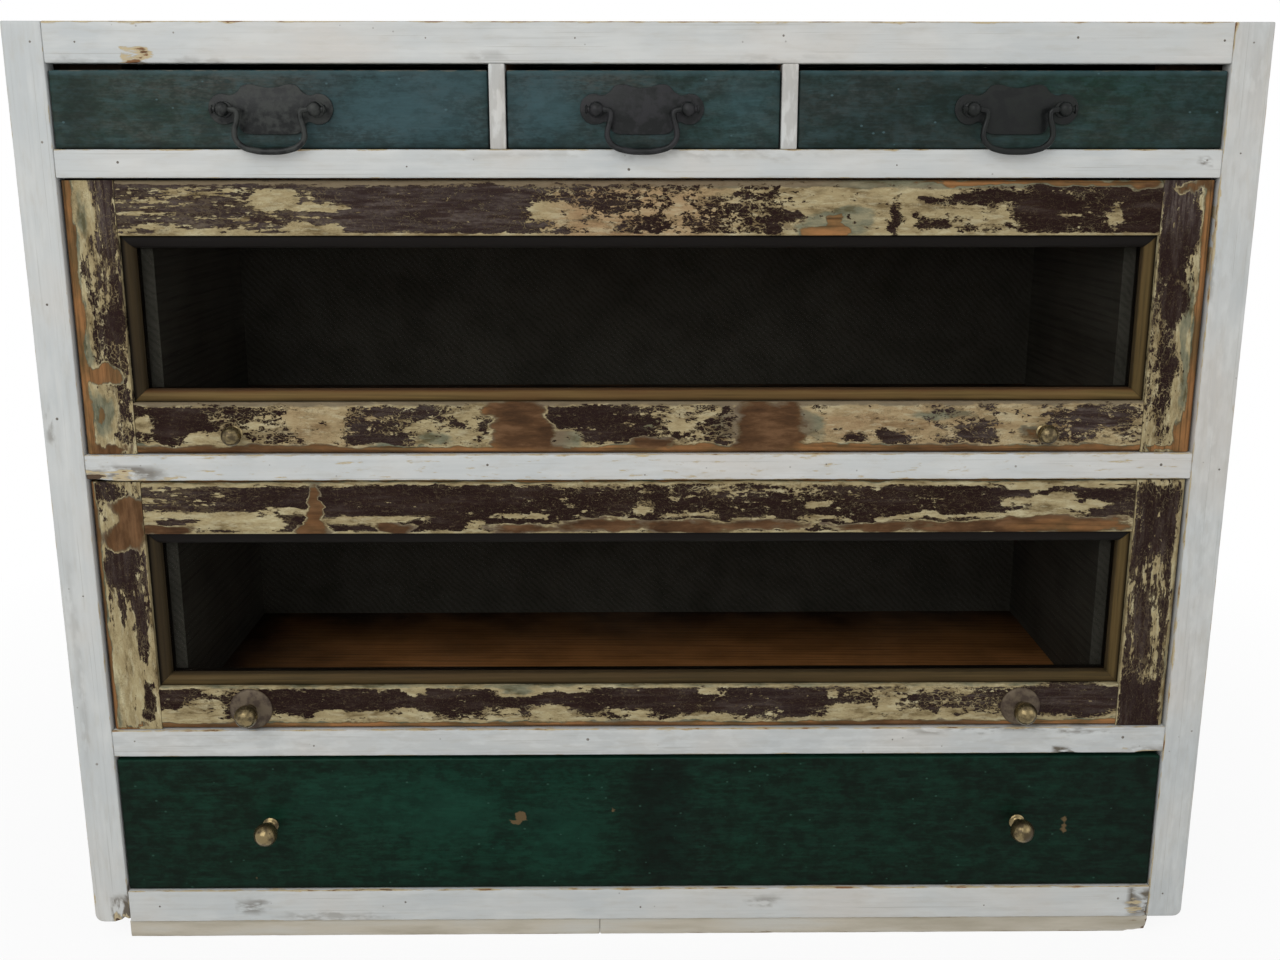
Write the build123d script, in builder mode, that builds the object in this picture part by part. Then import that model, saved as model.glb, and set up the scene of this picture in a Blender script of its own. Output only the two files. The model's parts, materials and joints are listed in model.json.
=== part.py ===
from build123d import *
import os

os.makedirs("parts", exist_ok=True)

# A painted chest of drawers with two glass-fronted drawers.  Sizes are in millimetres.
# X runs to the right, Y to the back and Z up; the origin is on the floor, under the middle
# of the whole object, knobs included.

# ------------------------------------------------------------------ carcass sizes
cabinet_width = 1200.0
cabinet_depth = 380.0
plinth_height = 20.0
bottom_rail_height = 37.5
bottom_opening = 159.5
lower_rail_height = 30.0
lower_opening = 273.0
middle_rail_height = 27.0
upper_opening = 273.0
upper_rail_height = 27.0
top_opening = 79.0
top_rail_height = 38.0
stile_width = 38.0
stile_foot_radius = 9.0
frame_thickness = 22.0
frame_arris = 1.2
divider_width = 15.5
middle_opening = 263.5
middle_offset = 3.0  # the middle drawer stands a little right of centre
side_thickness = 20.0
top_thickness = 20.0
shelf_thickness = 18.0
back_thickness = 12.0
back_board_count = 6
back_board_gap = 1.0
post_width = 80.0
post_depth = 45.0
guide_width = 20.0
guide_height = 20.0
plinth_batten = 34.0
plinth_setback = 2.5
plinth_inset = 36.0
plinth_joint_x = -45.0

# ------------------------------------------------------------------ drawer sizes
front_thickness = 22.0
front_recess = 3.0
front_arris = 1.5
top_drawer_gap = 6.0  # open line over each top drawer front
bottom_drawer_gap = 5.0
top_box_drop = 8.0  # from the top of a front down to the top of its box
bottom_box_drop = 13.0
glazed_box_drop = 34.0
box_wall = 14.0
box_back_gap = 24.0
bottom_thickness = 7.0
bottom_lift = 8.0
groove_depth = 6.0

# ------------------------------------------------------------------ sash sizes
sash_recess = 3.0
sash_thickness = 26.0
sash_stile_width = 52.0
upper_sash_rails = (52.5, 53.0)  # bottom rail, top rail
lower_sash_rails = (47.5, 55.5)
upper_sash_gap = 2.0
lower_sash_gap = 1.5
sash_side_gap = 1.0
sash_edge_radius = 6.0
sash_lip = 12.0
sash_lip_thickness = 8.0
glass_thickness = 3.0
bead_depth = 10.0
bead_radius = 6.0

# ------------------------------------------------------------------ handles and knobs
post_spacing = 88.5
handle_shifts = {"left": 1.0, "middle": -1.5, "right": 4.0}  # from the middle of each front
plate_body_inset = 14.0  # from a post in to the side of the deep middle
plate_body_height = 42.5
plate_lobe_radius = 17.0
plate_lobe_inset = 3.0  # from a post in to the middle of its lobe
plate_fillet = 2.5
plate_thickness = 1.8
plate_edge = 0.6
pivot_standoff = 10.0  # bail axis, in front of the backplate
post_ball_radius = 7.0
post_neck_radius = 4.5
post_shank_radius = 2.5
nut_size = 11.0
nut_thickness = 4.0
shank_end = 1.5
bail_wire_radius = 2.75
bail_drop = 41.0
bail_shoulder_drop = 34.0
bail_shoulder_half = 35.5
bail_neck_half = 30.0
bail_neck_bend = 6.0
bail_corner_bend = 20.0
bail_bottom_bend = 80.0
bail_collar_radius = 4.2
bail_collar_length = 3.0
knob_screw_radius = 2.4
knob_screw_length = 15.0
knob_base_height = 2.5

# ------------------------------------------------------------------ clearances
joint_gap = 0.2  # between pieces of one built-up part
run_clearance = 0.3  # under a drawer side, and between a sash and its stop
guide_clearance = 1.0
front_side_gap = 1.2
front_foot_gap = 0.6
bail_pin_clearance = 0.06
shank_clearance = 0.1

# ------------------------------------------------------------------ levels, from the floor up
bottom_opening_z = plinth_height + bottom_rail_height
lower_rail_z = bottom_opening_z + bottom_opening
lower_opening_z = lower_rail_z + lower_rail_height
middle_rail_z = lower_opening_z + lower_opening
upper_opening_z = middle_rail_z + middle_rail_height
upper_rail_z = upper_opening_z + upper_opening
top_opening_z = upper_rail_z + upper_rail_height
top_rail_z = top_opening_z + top_opening
cabinet_height = top_rail_z + top_rail_height
top_board_z = cabinet_height - top_thickness

# ------------------------------------------------------------------ knobs, one entry for each pair
# ball radius, neck radius, length from the face to the ball's end
drawer_knob = (12.5, 4.5, 34.0)
upper_knob = (10.0, 4.0, 24.0)
lower_knob = (12.0, 5.0, 32.0)
drawer_knob_xs = (-401.0, 410.5)
upper_knob_xs = (-409.0, 409.0)
lower_knob_xs = (-413.0, 405.0)
drawer_rose_radii = (8.5, 8.5)
upper_rose_radii = (8.0, 8.0)
lower_rose_radii = (22.5, 21.0)
upper_knob_drop = 5.0  # from the middle of the bottom rail down to its knobs
lower_knob_drop = 1.0

# ------------------------------------------------------------------ places across and front to back
half_width = cabinet_width / 2
opening_half = half_width - stile_width
side_inner = half_width - side_thickness
post_inner = side_inner - post_width
box_half = post_inner - guide_clearance

front_reach = drawer_knob[2] - front_recess
face_y = -(cabinet_depth - front_reach) / 2
frame_back = face_y + frame_thickness
front_y = face_y + front_recess
front_back = front_y + front_thickness
sash_front = face_y + sash_recess
sash_back = sash_front + sash_thickness
post_front = sash_back + run_clearance
back_y = face_y + cabinet_depth
back_board_y = back_y - back_thickness
box_back = back_board_y - box_back_gap

left_divider_x = middle_offset - (middle_opening + divider_width) / 2
right_divider_x = middle_offset + (middle_opening + divider_width) / 2
divider_xs = (left_divider_x, right_divider_x)

post_centre_x = (side_inner + post_inner) / 2
post_centre_ys = (post_front + post_depth / 2, back_board_y - post_depth / 2)
post_places = [(x, y) for x in (-post_centre_x, post_centre_x) for y in post_centre_ys]

plate_front = front_y - plate_thickness
pivot_y = plate_front - pivot_standoff
eye_radius = bail_wire_radius + bail_pin_clearance
collar_start = post_spacing / 2 + post_ball_radius + joint_gap
bail_end = collar_start + bail_collar_length


def upright(y, x=0.0, z=0.0):
    """The vertical plane at this Y, seen from the front; a negative extrude goes back."""
    return Plane(origin=(x, y, z), x_dir=(1, 0, 0), z_dir=(0, -1, 0))


def save(piece, node):
    """Name a finished piece and write it out."""
    piece.part.label = node
    export_step(piece.part, f"parts/{node}.step")


def board(node, xs, ys, zs, arris=0.0):
    """A plain board between two values of X, Y and Z, its front edges eased if asked."""
    with BuildPart() as piece:
        with BuildSketch(upright(ys[0])):
            with Locations(((xs[0] + xs[1]) / 2, (zs[0] + zs[1]) / 2)):
                Rectangle(xs[1] - xs[0], zs[1] - zs[0])
        extrude(amount=ys[0] - ys[1])
        if arris:
            fillet(piece.faces().sort_by(Axis.Y)[0].edges(), radius=arris)
    save(piece, node)


# ================================================================== face frame


def face_stile(node, side):
    """A full-height upright of the face frame; its outer bottom corner is worn round."""
    with BuildPart() as stile:
        with BuildSketch(upright(face_y)) as outline:
            with Locations((side * (half_width + opening_half) / 2, (plinth_height + cabinet_height) / 2)):
                Rectangle(stile_width, cabinet_height - plinth_height)
            outer_corners = outline.vertices().group_by(Axis.X)[0 if side < 0 else -1]
            fillet(outer_corners.sort_by(Axis.Y)[0], radius=stile_foot_radius)
        extrude(amount=-frame_thickness)
        fillet(stile.faces().sort_by(Axis.Y)[0].edges(), radius=frame_arris)
    save(stile, node)


face_stile("left_stile", -1)
face_stile("right_stile", 1)

rails = {
    "bottom_rail": (plinth_height, bottom_rail_height),
    "lower_rail": (lower_rail_z, lower_rail_height),
    "middle_rail": (middle_rail_z, middle_rail_height),
    "upper_rail": (upper_rail_z, upper_rail_height),
    "top_rail": (top_rail_z, top_rail_height),
}
for rail_name, (rail_z, rail_height) in rails.items():
    board(
        rail_name,
        (-opening_half, opening_half),
        (face_y, frame_back),
        (rail_z, rail_z + rail_height),
        frame_arris,
    )

with BuildPart() as dividers:
    with BuildSketch(upright(face_y)):
        with Locations(*[(x, top_opening_z + top_opening / 2) for x in divider_xs]):
            Rectangle(divider_width, top_opening)
    extrude(amount=-frame_thickness)
    fillet(dividers.faces().filter_by(Plane.XZ).group_by(Axis.Y)[0].edges(), radius=frame_arris)
save(dividers, "dividers")

# ================================================================== carcass behind the face frame

for side_name, side in (("left", -1), ("right", 1)):
    board(
        f"{side_name}_side_panel",
        sorted((side * half_width, side * side_inner)),
        (frame_back, back_y),
        (plinth_height, top_board_z),
    )

board(
    "top_board",
    (-half_width, half_width),
    (frame_back, back_y),
    (top_board_z, cabinet_height),
)

with BuildPart() as corner_posts:
    with BuildSketch(Plane.XY.offset(plinth_height)):
        with Locations(*post_places):
            Rectangle(post_width, post_depth)
    extrude(amount=top_board_z - plinth_height)
save(corner_posts, "corner_posts")


def shelf(node, top_z):
    """A board the width of the case, notched round the four corner posts."""
    with BuildPart() as piece:
        with BuildSketch(Plane.XY.offset(top_z - shelf_thickness)):
            with Locations((0, (frame_back + back_board_y) / 2)):
                Rectangle(2 * side_inner, back_board_y - frame_back)
            with Locations(*post_places):
                Rectangle(post_width, post_depth, mode=Mode.SUBTRACT)
        extrude(amount=shelf_thickness)
    save(piece, node)


shelf("bottom_shelf", bottom_opening_z)
shelf("lower_shelf", lower_opening_z)
shelf("upper_shelf", upper_opening_z)
shelf("top_drawer_shelf", top_opening_z)

with BuildPart() as back_boards:
    board_pitch = 2 * side_inner / back_board_count
    with BuildSketch(upright(back_board_y)):
        with Locations((0, (plinth_height + top_board_z) / 2)):
            with GridLocations(board_pitch, 1, back_board_count, 1):
                Rectangle(board_pitch - back_board_gap, top_board_z - plinth_height)
    extrude(amount=-back_thickness)
save(back_boards, "back_boards")

with BuildPart() as drawer_partitions:
    with BuildSketch(Plane.XY.offset(top_opening_z)):
        with Locations(*[(x, (frame_back + back_board_y) / 2) for x in divider_xs]):
            Rectangle(divider_width, back_board_y - frame_back)
    extrude(amount=top_board_z - top_opening_z)
save(drawer_partitions, "drawer_partitions")

# A guide on each side of every shelf keeps the drawer boxes straight, in line with the posts.
guide_start = post_front + post_depth
guide_length = back_board_y - post_depth - guide_start
guide_x = post_inner + guide_width / 2
with BuildPart() as drawer_guides:
    for level_z in (bottom_opening_z, lower_opening_z, upper_opening_z, top_opening_z):
        with BuildSketch(Plane.XY.offset(level_z)):
            with Locations(*[(x, guide_start + guide_length / 2) for x in (-guide_x, guide_x)]):
                Rectangle(guide_width, guide_length)
        extrude(amount=guide_height)
save(drawer_guides, "drawer_guides")

# The plinth is a frame of battens; its front is pieced from two lengths.
plinth_half = half_width - plinth_inset
plinth_front = face_y + plinth_setback
plinth_middle = (plinth_front + back_y) / 2
with BuildPart() as plinth:
    with BuildSketch():
        with Locations((0, plinth_middle)):
            Rectangle(2 * plinth_half, back_y - plinth_front)
            Rectangle(
                2 * (plinth_half - plinth_batten),
                back_y - plinth_front - 2 * plinth_batten,
                mode=Mode.SUBTRACT,
            )
            with GridLocations(1, back_y - plinth_front - 2 * plinth_batten, 1, 2):
                Rectangle(2 * plinth_half, joint_gap, mode=Mode.SUBTRACT)
        with Locations((plinth_joint_x, plinth_front + plinth_batten / 2)):
            Rectangle(joint_gap, plinth_batten, mode=Mode.SUBTRACT)
    extrude(amount=plinth_height)
save(plinth, "plinth")

# ================================================================== drawer boxes


def drawer_box(node, xs, y_front, opening_z, height):
    """Two grooved sides on the shelf, and a back that stands on the bottom panel."""
    foot_z = opening_z + run_clearance
    floor_z = foot_z + bottom_lift
    middle_x = (xs[0] + xs[1]) / 2
    inner_width = xs[1] - xs[0] - 2 * box_wall
    back_height = height - bottom_lift - bottom_thickness - joint_gap
    with BuildPart() as box:
        with BuildSketch(upright(y_front)):
            for side_x in (xs[0] + box_wall / 2, xs[1] - box_wall / 2):
                with Locations((side_x, foot_z + height / 2)):
                    Rectangle(box_wall, height)
            with Locations((middle_x, floor_z + bottom_thickness / 2)):
                Rectangle(inner_width + 2 * groove_depth, bottom_thickness, mode=Mode.SUBTRACT)
        extrude(amount=y_front - box_back)
        with BuildSketch(upright(box_back - box_wall)):
            with Locations((middle_x, foot_z + height - back_height / 2)):
                Rectangle(inner_width - 2 * joint_gap, back_height)
        extrude(amount=-box_wall)
    save(box, node)


def drawer_bottom(node, xs, y_front, opening_z):
    """The panel that slides into the grooves of the sides."""
    reach = box_wall - groove_depth
    floor_z = opening_z + run_clearance + bottom_lift
    board(node, (xs[0] + reach, xs[1] - reach), (y_front, box_back), (floor_z, floor_z + bottom_thickness))


def drawer_front(node, xs, opening_z, height, box_xs, holes, hole_radius, hole_depth):
    """A solid front with a groove for its bottom panel and holes for its hardware."""
    foot_z = opening_z + front_foot_gap
    floor_z = opening_z + run_clearance + bottom_lift
    groove_width = box_xs[1] - box_xs[0] - 2 * (box_wall - groove_depth)
    with BuildPart() as front:
        with BuildSketch(upright(front_y)):
            with Locations(((xs[0] + xs[1]) / 2, foot_z + height / 2)):
                Rectangle(xs[1] - xs[0], height)
        extrude(amount=-front_thickness)
        fillet(front.faces().sort_by(Axis.Y)[0].edges(), radius=front_arris)
        with BuildSketch(upright(front_back)):
            with Locations(((box_xs[0] + box_xs[1]) / 2, floor_z + bottom_thickness / 2)):
                Rectangle(groove_width, bottom_thickness)
        extrude(amount=groove_depth, mode=Mode.SUBTRACT)
        with BuildSketch(upright(front_y)):
            with Locations(*holes):
                Circle(hole_radius)
        extrude(amount=-hole_depth, mode=Mode.SUBTRACT)
    save(front, node)


# ================================================================== bail handles


def handle_plate(node, centre):
    """A thin winged backplate: a deep middle with a round lobe behind each post."""
    with BuildPart() as plate:
        with BuildSketch(upright(front_y, *centre)) as outline:
            Rectangle(post_spacing - 2 * plate_body_inset, plate_body_height)
            with GridLocations(post_spacing - 2 * plate_lobe_inset, 1, 2, 1):
                Circle(plate_lobe_radius)
            fillet(outline.vertices(), radius=plate_fillet)
            with GridLocations(post_spacing, 1, 2, 1):
                Circle(post_shank_radius + shank_clearance, mode=Mode.SUBTRACT)
        extrude(amount=plate_thickness)
        outer_edges = plate.faces().sort_by(Axis.Y)[0].outer_wire().edges()
        chamfer(outer_edges, length=plate_edge)
    save(plate, node)


def handle_posts(node, centre):
    """Ball-headed posts with a cross hole for the bail, and the square nuts behind."""
    shank_length = plate_thickness + front_thickness + nut_thickness + shank_end
    with BuildPart() as posts:
        for side in (-1, 1):
            post_x = centre[0] + side * post_spacing / 2
            foot = (post_x, plate_front, centre[1])
            with BuildSketch(Plane(origin=foot, x_dir=(1, 0, 0), z_dir=(0, 0, -1))):
                with Locations((post_shank_radius / 2, -shank_length / 2)):
                    Rectangle(post_shank_radius, shank_length)
                with Locations((post_neck_radius / 2, pivot_standoff / 2)):
                    Rectangle(post_neck_radius, pivot_standoff)
                with Locations((0, pivot_standoff)):
                    Circle(post_ball_radius)
                with Locations((-post_ball_radius / 2, pivot_standoff)):
                    Rectangle(post_ball_radius, 2 * post_ball_radius, mode=Mode.SUBTRACT)
            revolve(axis=Axis(foot, (0, -1, 0)))
        with BuildSketch(Plane.YZ.offset(centre[0] - post_spacing)):
            with Locations((pivot_y, centre[1])):
                Circle(eye_radius)
        extrude(amount=2 * post_spacing, mode=Mode.SUBTRACT)
        nut_start = front_back + joint_gap
        with BuildSketch(upright(nut_start, *centre)):
            with GridLocations(post_spacing, 1, 2, 1):
                Rectangle(nut_size, nut_size)
                Circle(post_shank_radius + shank_clearance, mode=Mode.SUBTRACT)
        extrude(amount=-nut_thickness)
    save(posts, node)


def handle_bail(node, centre):
    """A swan-neck bail: straight pins through the posts, legs bowed out, rounded bottom."""
    pin_start = collar_start - joint_gap
    half_path = [(bail_neck_half, 0), (bail_shoulder_half, -bail_shoulder_drop)]
    corners = [(pin_start, 0), *half_path, (0, -bail_drop)]
    corners += [(-x, z) for x, z in reversed(corners[:-1])]
    bends = [bail_neck_bend, bail_corner_bend, bail_bottom_bend, bail_corner_bend, bail_neck_bend]
    with BuildPart() as bail:
        with BuildLine(upright(pivot_y, *centre)) as route:
            FilletPolyline(*corners, radius=bends)
        with BuildSketch(Plane(route.line @ 0, z_dir=route.line % 0)):
            Circle(bail_wire_radius)
        sweep(path=route.line)
        for side in (-1, 1):
            collar_x = centre[0] + side * pin_start
            with BuildSketch(Plane(origin=(collar_x, pivot_y, centre[1]), z_dir=(side, 0, 0))):
                Circle(bail_collar_radius)
            extrude(amount=bail_end - pin_start)
    save(bail, node)


# ================================================================== knobs


def knobs(node, xs, y, z, ball, neck, length, rose_radii):
    """Turned knobs on a flat rose, each on a screw that goes into the wood."""
    with BuildPart() as pair:
        for knob_x, rose in zip(xs, rose_radii):
            foot = (knob_x, y, z)
            with BuildSketch(Plane(origin=foot, x_dir=(1, 0, 0), z_dir=(0, 0, -1))):
                with BuildLine():
                    Polyline(
                        (0, length - 2 * ball),
                        (0, -knob_screw_length),
                        (knob_screw_radius, -knob_screw_length),
                        (knob_screw_radius, 0),
                        (rose, 0),
                        (rose, knob_base_height / 2),
                        (neck + knob_base_height, knob_base_height),
                        (neck, 2 * knob_base_height),
                        (neck, length - ball),
                        (0, length - ball),
                        (0, length - 2 * ball),
                    )
                make_face()
                with BuildLine():
                    CenterArc((0, length - ball), ball, -90, 180)
                    Line((0, length), (0, length - 2 * ball))
                make_face()
            revolve(axis=Axis(foot, (0, -1, 0)))
    save(pair, node)


# ================================================================== the three top drawers

top_front_height = top_opening - front_foot_gap - top_drawer_gap
left_edge = left_divider_x - divider_width / 2
right_edge = right_divider_x + divider_width / 2
top_drawers = {
    "left": ((-opening_half, left_edge), (-box_half, left_edge - guide_clearance)),
    "middle": (
        (left_edge + divider_width, right_edge - divider_width),
        (left_edge + divider_width + guide_clearance, right_edge - divider_width - guide_clearance),
    ),
    "right": ((right_edge, opening_half), (right_edge + guide_clearance, box_half)),
}
for name, (opening_xs, box_xs) in top_drawers.items():
    front_xs = (opening_xs[0] + front_side_gap, opening_xs[1] - front_side_gap)
    handle_x = (opening_xs[0] + opening_xs[1]) / 2 + handle_shifts[name]
    handle_centre = (handle_x, top_opening_z + front_foot_gap + top_front_height / 2)
    shank_places = [(handle_x + side * post_spacing / 2, handle_centre[1]) for side in (-1, 1)]
    drawer_front(
        f"{name}_drawer_front",
        front_xs,
        top_opening_z,
        top_front_height,
        box_xs,
        shank_places,
        post_shank_radius + shank_clearance,
        front_thickness,
    )
    drawer_box(f"{name}_drawer_box", box_xs, front_back, top_opening_z, top_front_height - top_box_drop)
    drawer_bottom(f"{name}_drawer_bottom", box_xs, front_back - groove_depth, top_opening_z)
    handle_plate(f"{name}_handle_plate", handle_centre)
    handle_posts(f"{name}_handle_posts", handle_centre)
    handle_bail(f"{name}_handle_bail", handle_centre)

# ================================================================== the wide bottom drawer

wide_box_xs = (-box_half, box_half)
bottom_front_height = bottom_opening - front_foot_gap - bottom_drawer_gap
bottom_knob_z = bottom_opening_z + front_foot_gap + bottom_front_height / 2
drawer_front(
    "bottom_drawer_front",
    (-opening_half + front_side_gap, opening_half - front_side_gap),
    bottom_opening_z,
    bottom_front_height,
    wide_box_xs,
    [(x, bottom_knob_z) for x in drawer_knob_xs],
    knob_screw_radius + shank_clearance,
    knob_screw_length + joint_gap,
)
bottom_box_height = bottom_front_height - bottom_box_drop
drawer_box("bottom_drawer_box", wide_box_xs, front_back, bottom_opening_z, bottom_box_height)
drawer_bottom("bottom_drawer_bottom", wide_box_xs, front_back - groove_depth, bottom_opening_z)
knobs("bottom_drawer_knobs", drawer_knob_xs, front_y, bottom_knob_z, *drawer_knob, drawer_rose_radii)

# ================================================================== the two glazed drawers

sash_half = opening_half - sash_side_gap
light_half = sash_half - sash_stile_width
lip_front = sash_back - sash_lip_thickness


def sash_stile(node, side, foot_z, height, rails):
    """A full-height side of the sash, with a lip behind the glass between the rails."""
    lip_foot = foot_z + rails[0] + sash_lip
    lip_head = foot_z + height - rails[1] - sash_lip
    with BuildPart() as stile:
        with BuildSketch(upright(sash_front)):
            with Locations((side * (sash_half + light_half) / 2, foot_z + height / 2)):
                Rectangle(sash_stile_width, height)
        extrude(amount=-sash_thickness)
        front_edges = stile.edges().group_by(Axis.Y)[0].filter_by(Axis.Z)
        fillet(front_edges.sort_by(Axis.X)[0 if side < 0 else -1], radius=sash_edge_radius)
        with BuildSketch(upright(lip_front)):
            with Locations((side * (light_half - sash_lip / 2), (lip_foot + lip_head) / 2)):
                Rectangle(sash_lip, lip_head - lip_foot)
        extrude(amount=-sash_lip_thickness)
    save(stile, node)


def sash_rail(node, foot_z, rail, lip_side, holes):
    """A rail between the sash stiles; lip_side is 1 if its lip is on top, -1 if below."""
    inner_z = foot_z + rail if lip_side > 0 else foot_z
    with BuildPart() as piece:
        with BuildSketch(upright(sash_front)):
            with Locations((0, foot_z + rail / 2)):
                Rectangle(2 * light_half, rail)
        extrude(amount=-sash_thickness)
        front_edges = piece.edges().group_by(Axis.Y)[0].filter_by(Axis.X)
        fillet(front_edges.sort_by(Axis.Z)[0 if lip_side > 0 else -1], radius=sash_edge_radius)
        with BuildSketch(upright(lip_front)):
            with Locations((0, inner_z + lip_side * sash_lip / 2)):
                Rectangle(2 * light_half, sash_lip)
        extrude(amount=-sash_lip_thickness)
        if holes:
            with BuildSketch(upright(sash_front)):
                with Locations(*holes):
                    Circle(knob_screw_radius + shank_clearance)
            extrude(amount=-(knob_screw_length + joint_gap), mode=Mode.SUBTRACT)
    save(piece, node)


def glazing_beads(node, light_z, light_height):
    """Four mitred beads that hold the glass against the sash lip."""
    half_height = light_height / 2 - joint_gap
    half_length = light_half - joint_gap
    bead_front = lip_front - glass_thickness - bead_depth
    with BuildPart() as beads:
        with BuildSketch(upright(bead_front)):
            with Locations((0, light_z + light_height / 2)):
                Rectangle(2 * half_length, 2 * half_height)
                Rectangle(2 * (half_length - sash_lip), 2 * (half_height - sash_lip), mode=Mode.SUBTRACT)
        extrude(amount=-bead_depth)
        front_face = beads.faces().sort_by(Axis.Y)[0]
        fillet(front_face.inner_wires()[0].edges(), radius=bead_radius)
        with BuildSketch(upright(bead_front)):
            for side in (-1, 1):
                for end in (-1, 1):
                    corner_x = side * (half_length - sash_lip / 2)
                    corner_z = light_z + light_height / 2 + end * (half_height - sash_lip / 2)
                    with Locations(Location((corner_x, corner_z, 0), (0, 0, side * end * 45))):
                        Rectangle(2 * sash_lip, joint_gap)
        extrude(amount=-bead_depth, mode=Mode.SUBTRACT)
    save(beads, node)


def glazed_drawer(name, opening_z, opening, gap, rails, knob_xs, knob_drop, knob_size, rose_radii):
    """A drawer whose front is a glazed sash, fixed to the front ends of its box."""
    bottom_rail, top_rail = rails
    foot_z = opening_z + front_foot_gap
    height = opening - front_foot_gap - gap
    light_z = foot_z + bottom_rail
    light_height = height - bottom_rail - top_rail
    knob_z = foot_z + bottom_rail / 2 - knob_drop
    sash_stile(f"{name}_sash_left_stile", -1, foot_z, height, rails)
    sash_stile(f"{name}_sash_right_stile", 1, foot_z, height, rails)
    sash_rail(f"{name}_sash_bottom_rail", foot_z, bottom_rail, 1, [(x, knob_z) for x in knob_xs])
    sash_rail(f"{name}_sash_top_rail", light_z + light_height, top_rail, -1, [])
    board(
        f"{name}_glass",
        (-light_half + joint_gap, light_half - joint_gap),
        (lip_front - glass_thickness, lip_front),
        (light_z + joint_gap, light_z + light_height - joint_gap),
    )
    glazing_beads(f"{name}_glazing_beads", light_z, light_height)
    knobs(f"{name}_sash_knobs", knob_xs, sash_front, knob_z, *knob_size, rose_radii)
    drawer_box(f"{name}_glazed_box", wide_box_xs, sash_back, opening_z, height - glazed_box_drop)
    drawer_bottom(f"{name}_glazed_bottom", wide_box_xs, sash_back, opening_z)


glazed_drawer(
    "upper",
    upper_opening_z,
    upper_opening,
    upper_sash_gap,
    upper_sash_rails,
    upper_knob_xs,
    upper_knob_drop,
    upper_knob,
    upper_rose_radii,
)
glazed_drawer(
    "lower",
    lower_opening_z,
    lower_opening,
    lower_sash_gap,
    lower_sash_rails,
    lower_knob_xs,
    lower_knob_drop,
    lower_knob,
    lower_rose_radii,
)
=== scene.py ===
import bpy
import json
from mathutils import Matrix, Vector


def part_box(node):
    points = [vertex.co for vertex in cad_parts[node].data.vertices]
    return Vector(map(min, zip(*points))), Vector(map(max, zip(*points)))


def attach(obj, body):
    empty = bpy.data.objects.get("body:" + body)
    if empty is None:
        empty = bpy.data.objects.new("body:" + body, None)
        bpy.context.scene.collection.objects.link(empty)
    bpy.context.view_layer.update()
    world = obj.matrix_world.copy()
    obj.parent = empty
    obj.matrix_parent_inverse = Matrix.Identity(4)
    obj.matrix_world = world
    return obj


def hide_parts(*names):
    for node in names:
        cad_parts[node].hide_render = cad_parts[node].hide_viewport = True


bl_info = {
    "name": "Painted Chest of Drawers",
    "version": (1, 0, 0),
    "blender": (4, 5, 0),
    "location": "3D View > Sidebar > Chest",
    "description": "Dresses the packed chest of drawers in worn paint, old glass, iron and brass",
    "category": "Object",
}

import json
import math
import random

import bmesh
import bpy
import numpy as np
from bpy.props import FloatProperty, FloatVectorProperty, PointerProperty
from mathutils import Matrix, Vector, noise

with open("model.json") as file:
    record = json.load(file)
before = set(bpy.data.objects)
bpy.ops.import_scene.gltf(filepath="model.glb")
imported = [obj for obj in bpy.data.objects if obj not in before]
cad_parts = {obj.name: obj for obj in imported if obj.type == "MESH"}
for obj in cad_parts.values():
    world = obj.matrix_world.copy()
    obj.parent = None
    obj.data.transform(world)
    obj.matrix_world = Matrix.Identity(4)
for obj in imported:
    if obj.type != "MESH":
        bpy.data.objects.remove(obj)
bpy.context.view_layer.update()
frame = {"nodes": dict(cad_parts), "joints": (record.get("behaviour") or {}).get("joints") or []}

WEAR_SEED = 1795370338
noise.seed_set(WEAR_SEED)  # or the vector noise, and the ragged edges of all wear, would change with every run

MM = 0.001
SAME = 1e-6  # corners nearer than this are one
SMOOTH_BELOW = math.radians(42)  # faces that meet at less than this are shaded as one
ROUND_ABOVE = math.radians(40)  # edges sharper than this are rounded on a block
WAVE_LENGTH = 0.628  # one wave of the wave texture, in its own units

# ---------------------------------------- places taken from the frame, in metres

FACE_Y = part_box("top_rail")[0].y
CASE_BACK_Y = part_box("back_boards")[1].y
TOP_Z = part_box("top_rail")[1].z
MIDDLE = Vector((0.0, (FACE_Y + CASE_BACK_Y) / 2, TOP_Z / 2))
DRAWERS = ("left", "middle", "right")
SASHES = ("upper", "lower")


def seen(red, green, blue):
    """A colour given as it looks on a screen, turned into the linear values that Blender uses."""
    return tuple(((c / 255 + 0.055) / 1.055) ** 2.4 if c > 10 else c / 3295 for c in (red, green, blue))


def colour_setting(name, description, *rgb):
    """A colour that the user may change."""
    return FloatVectorProperty(
        name=name, description=description, default=seen(*rgb), subtype="COLOR", size=3, min=0, max=1
    )


def length_setting(name, description, default):
    """A length that the user may change, in metres."""
    return FloatProperty(name=name, description=description, default=default, unit="LENGTH", min=0)


# ---------------------------------------- settings


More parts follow.
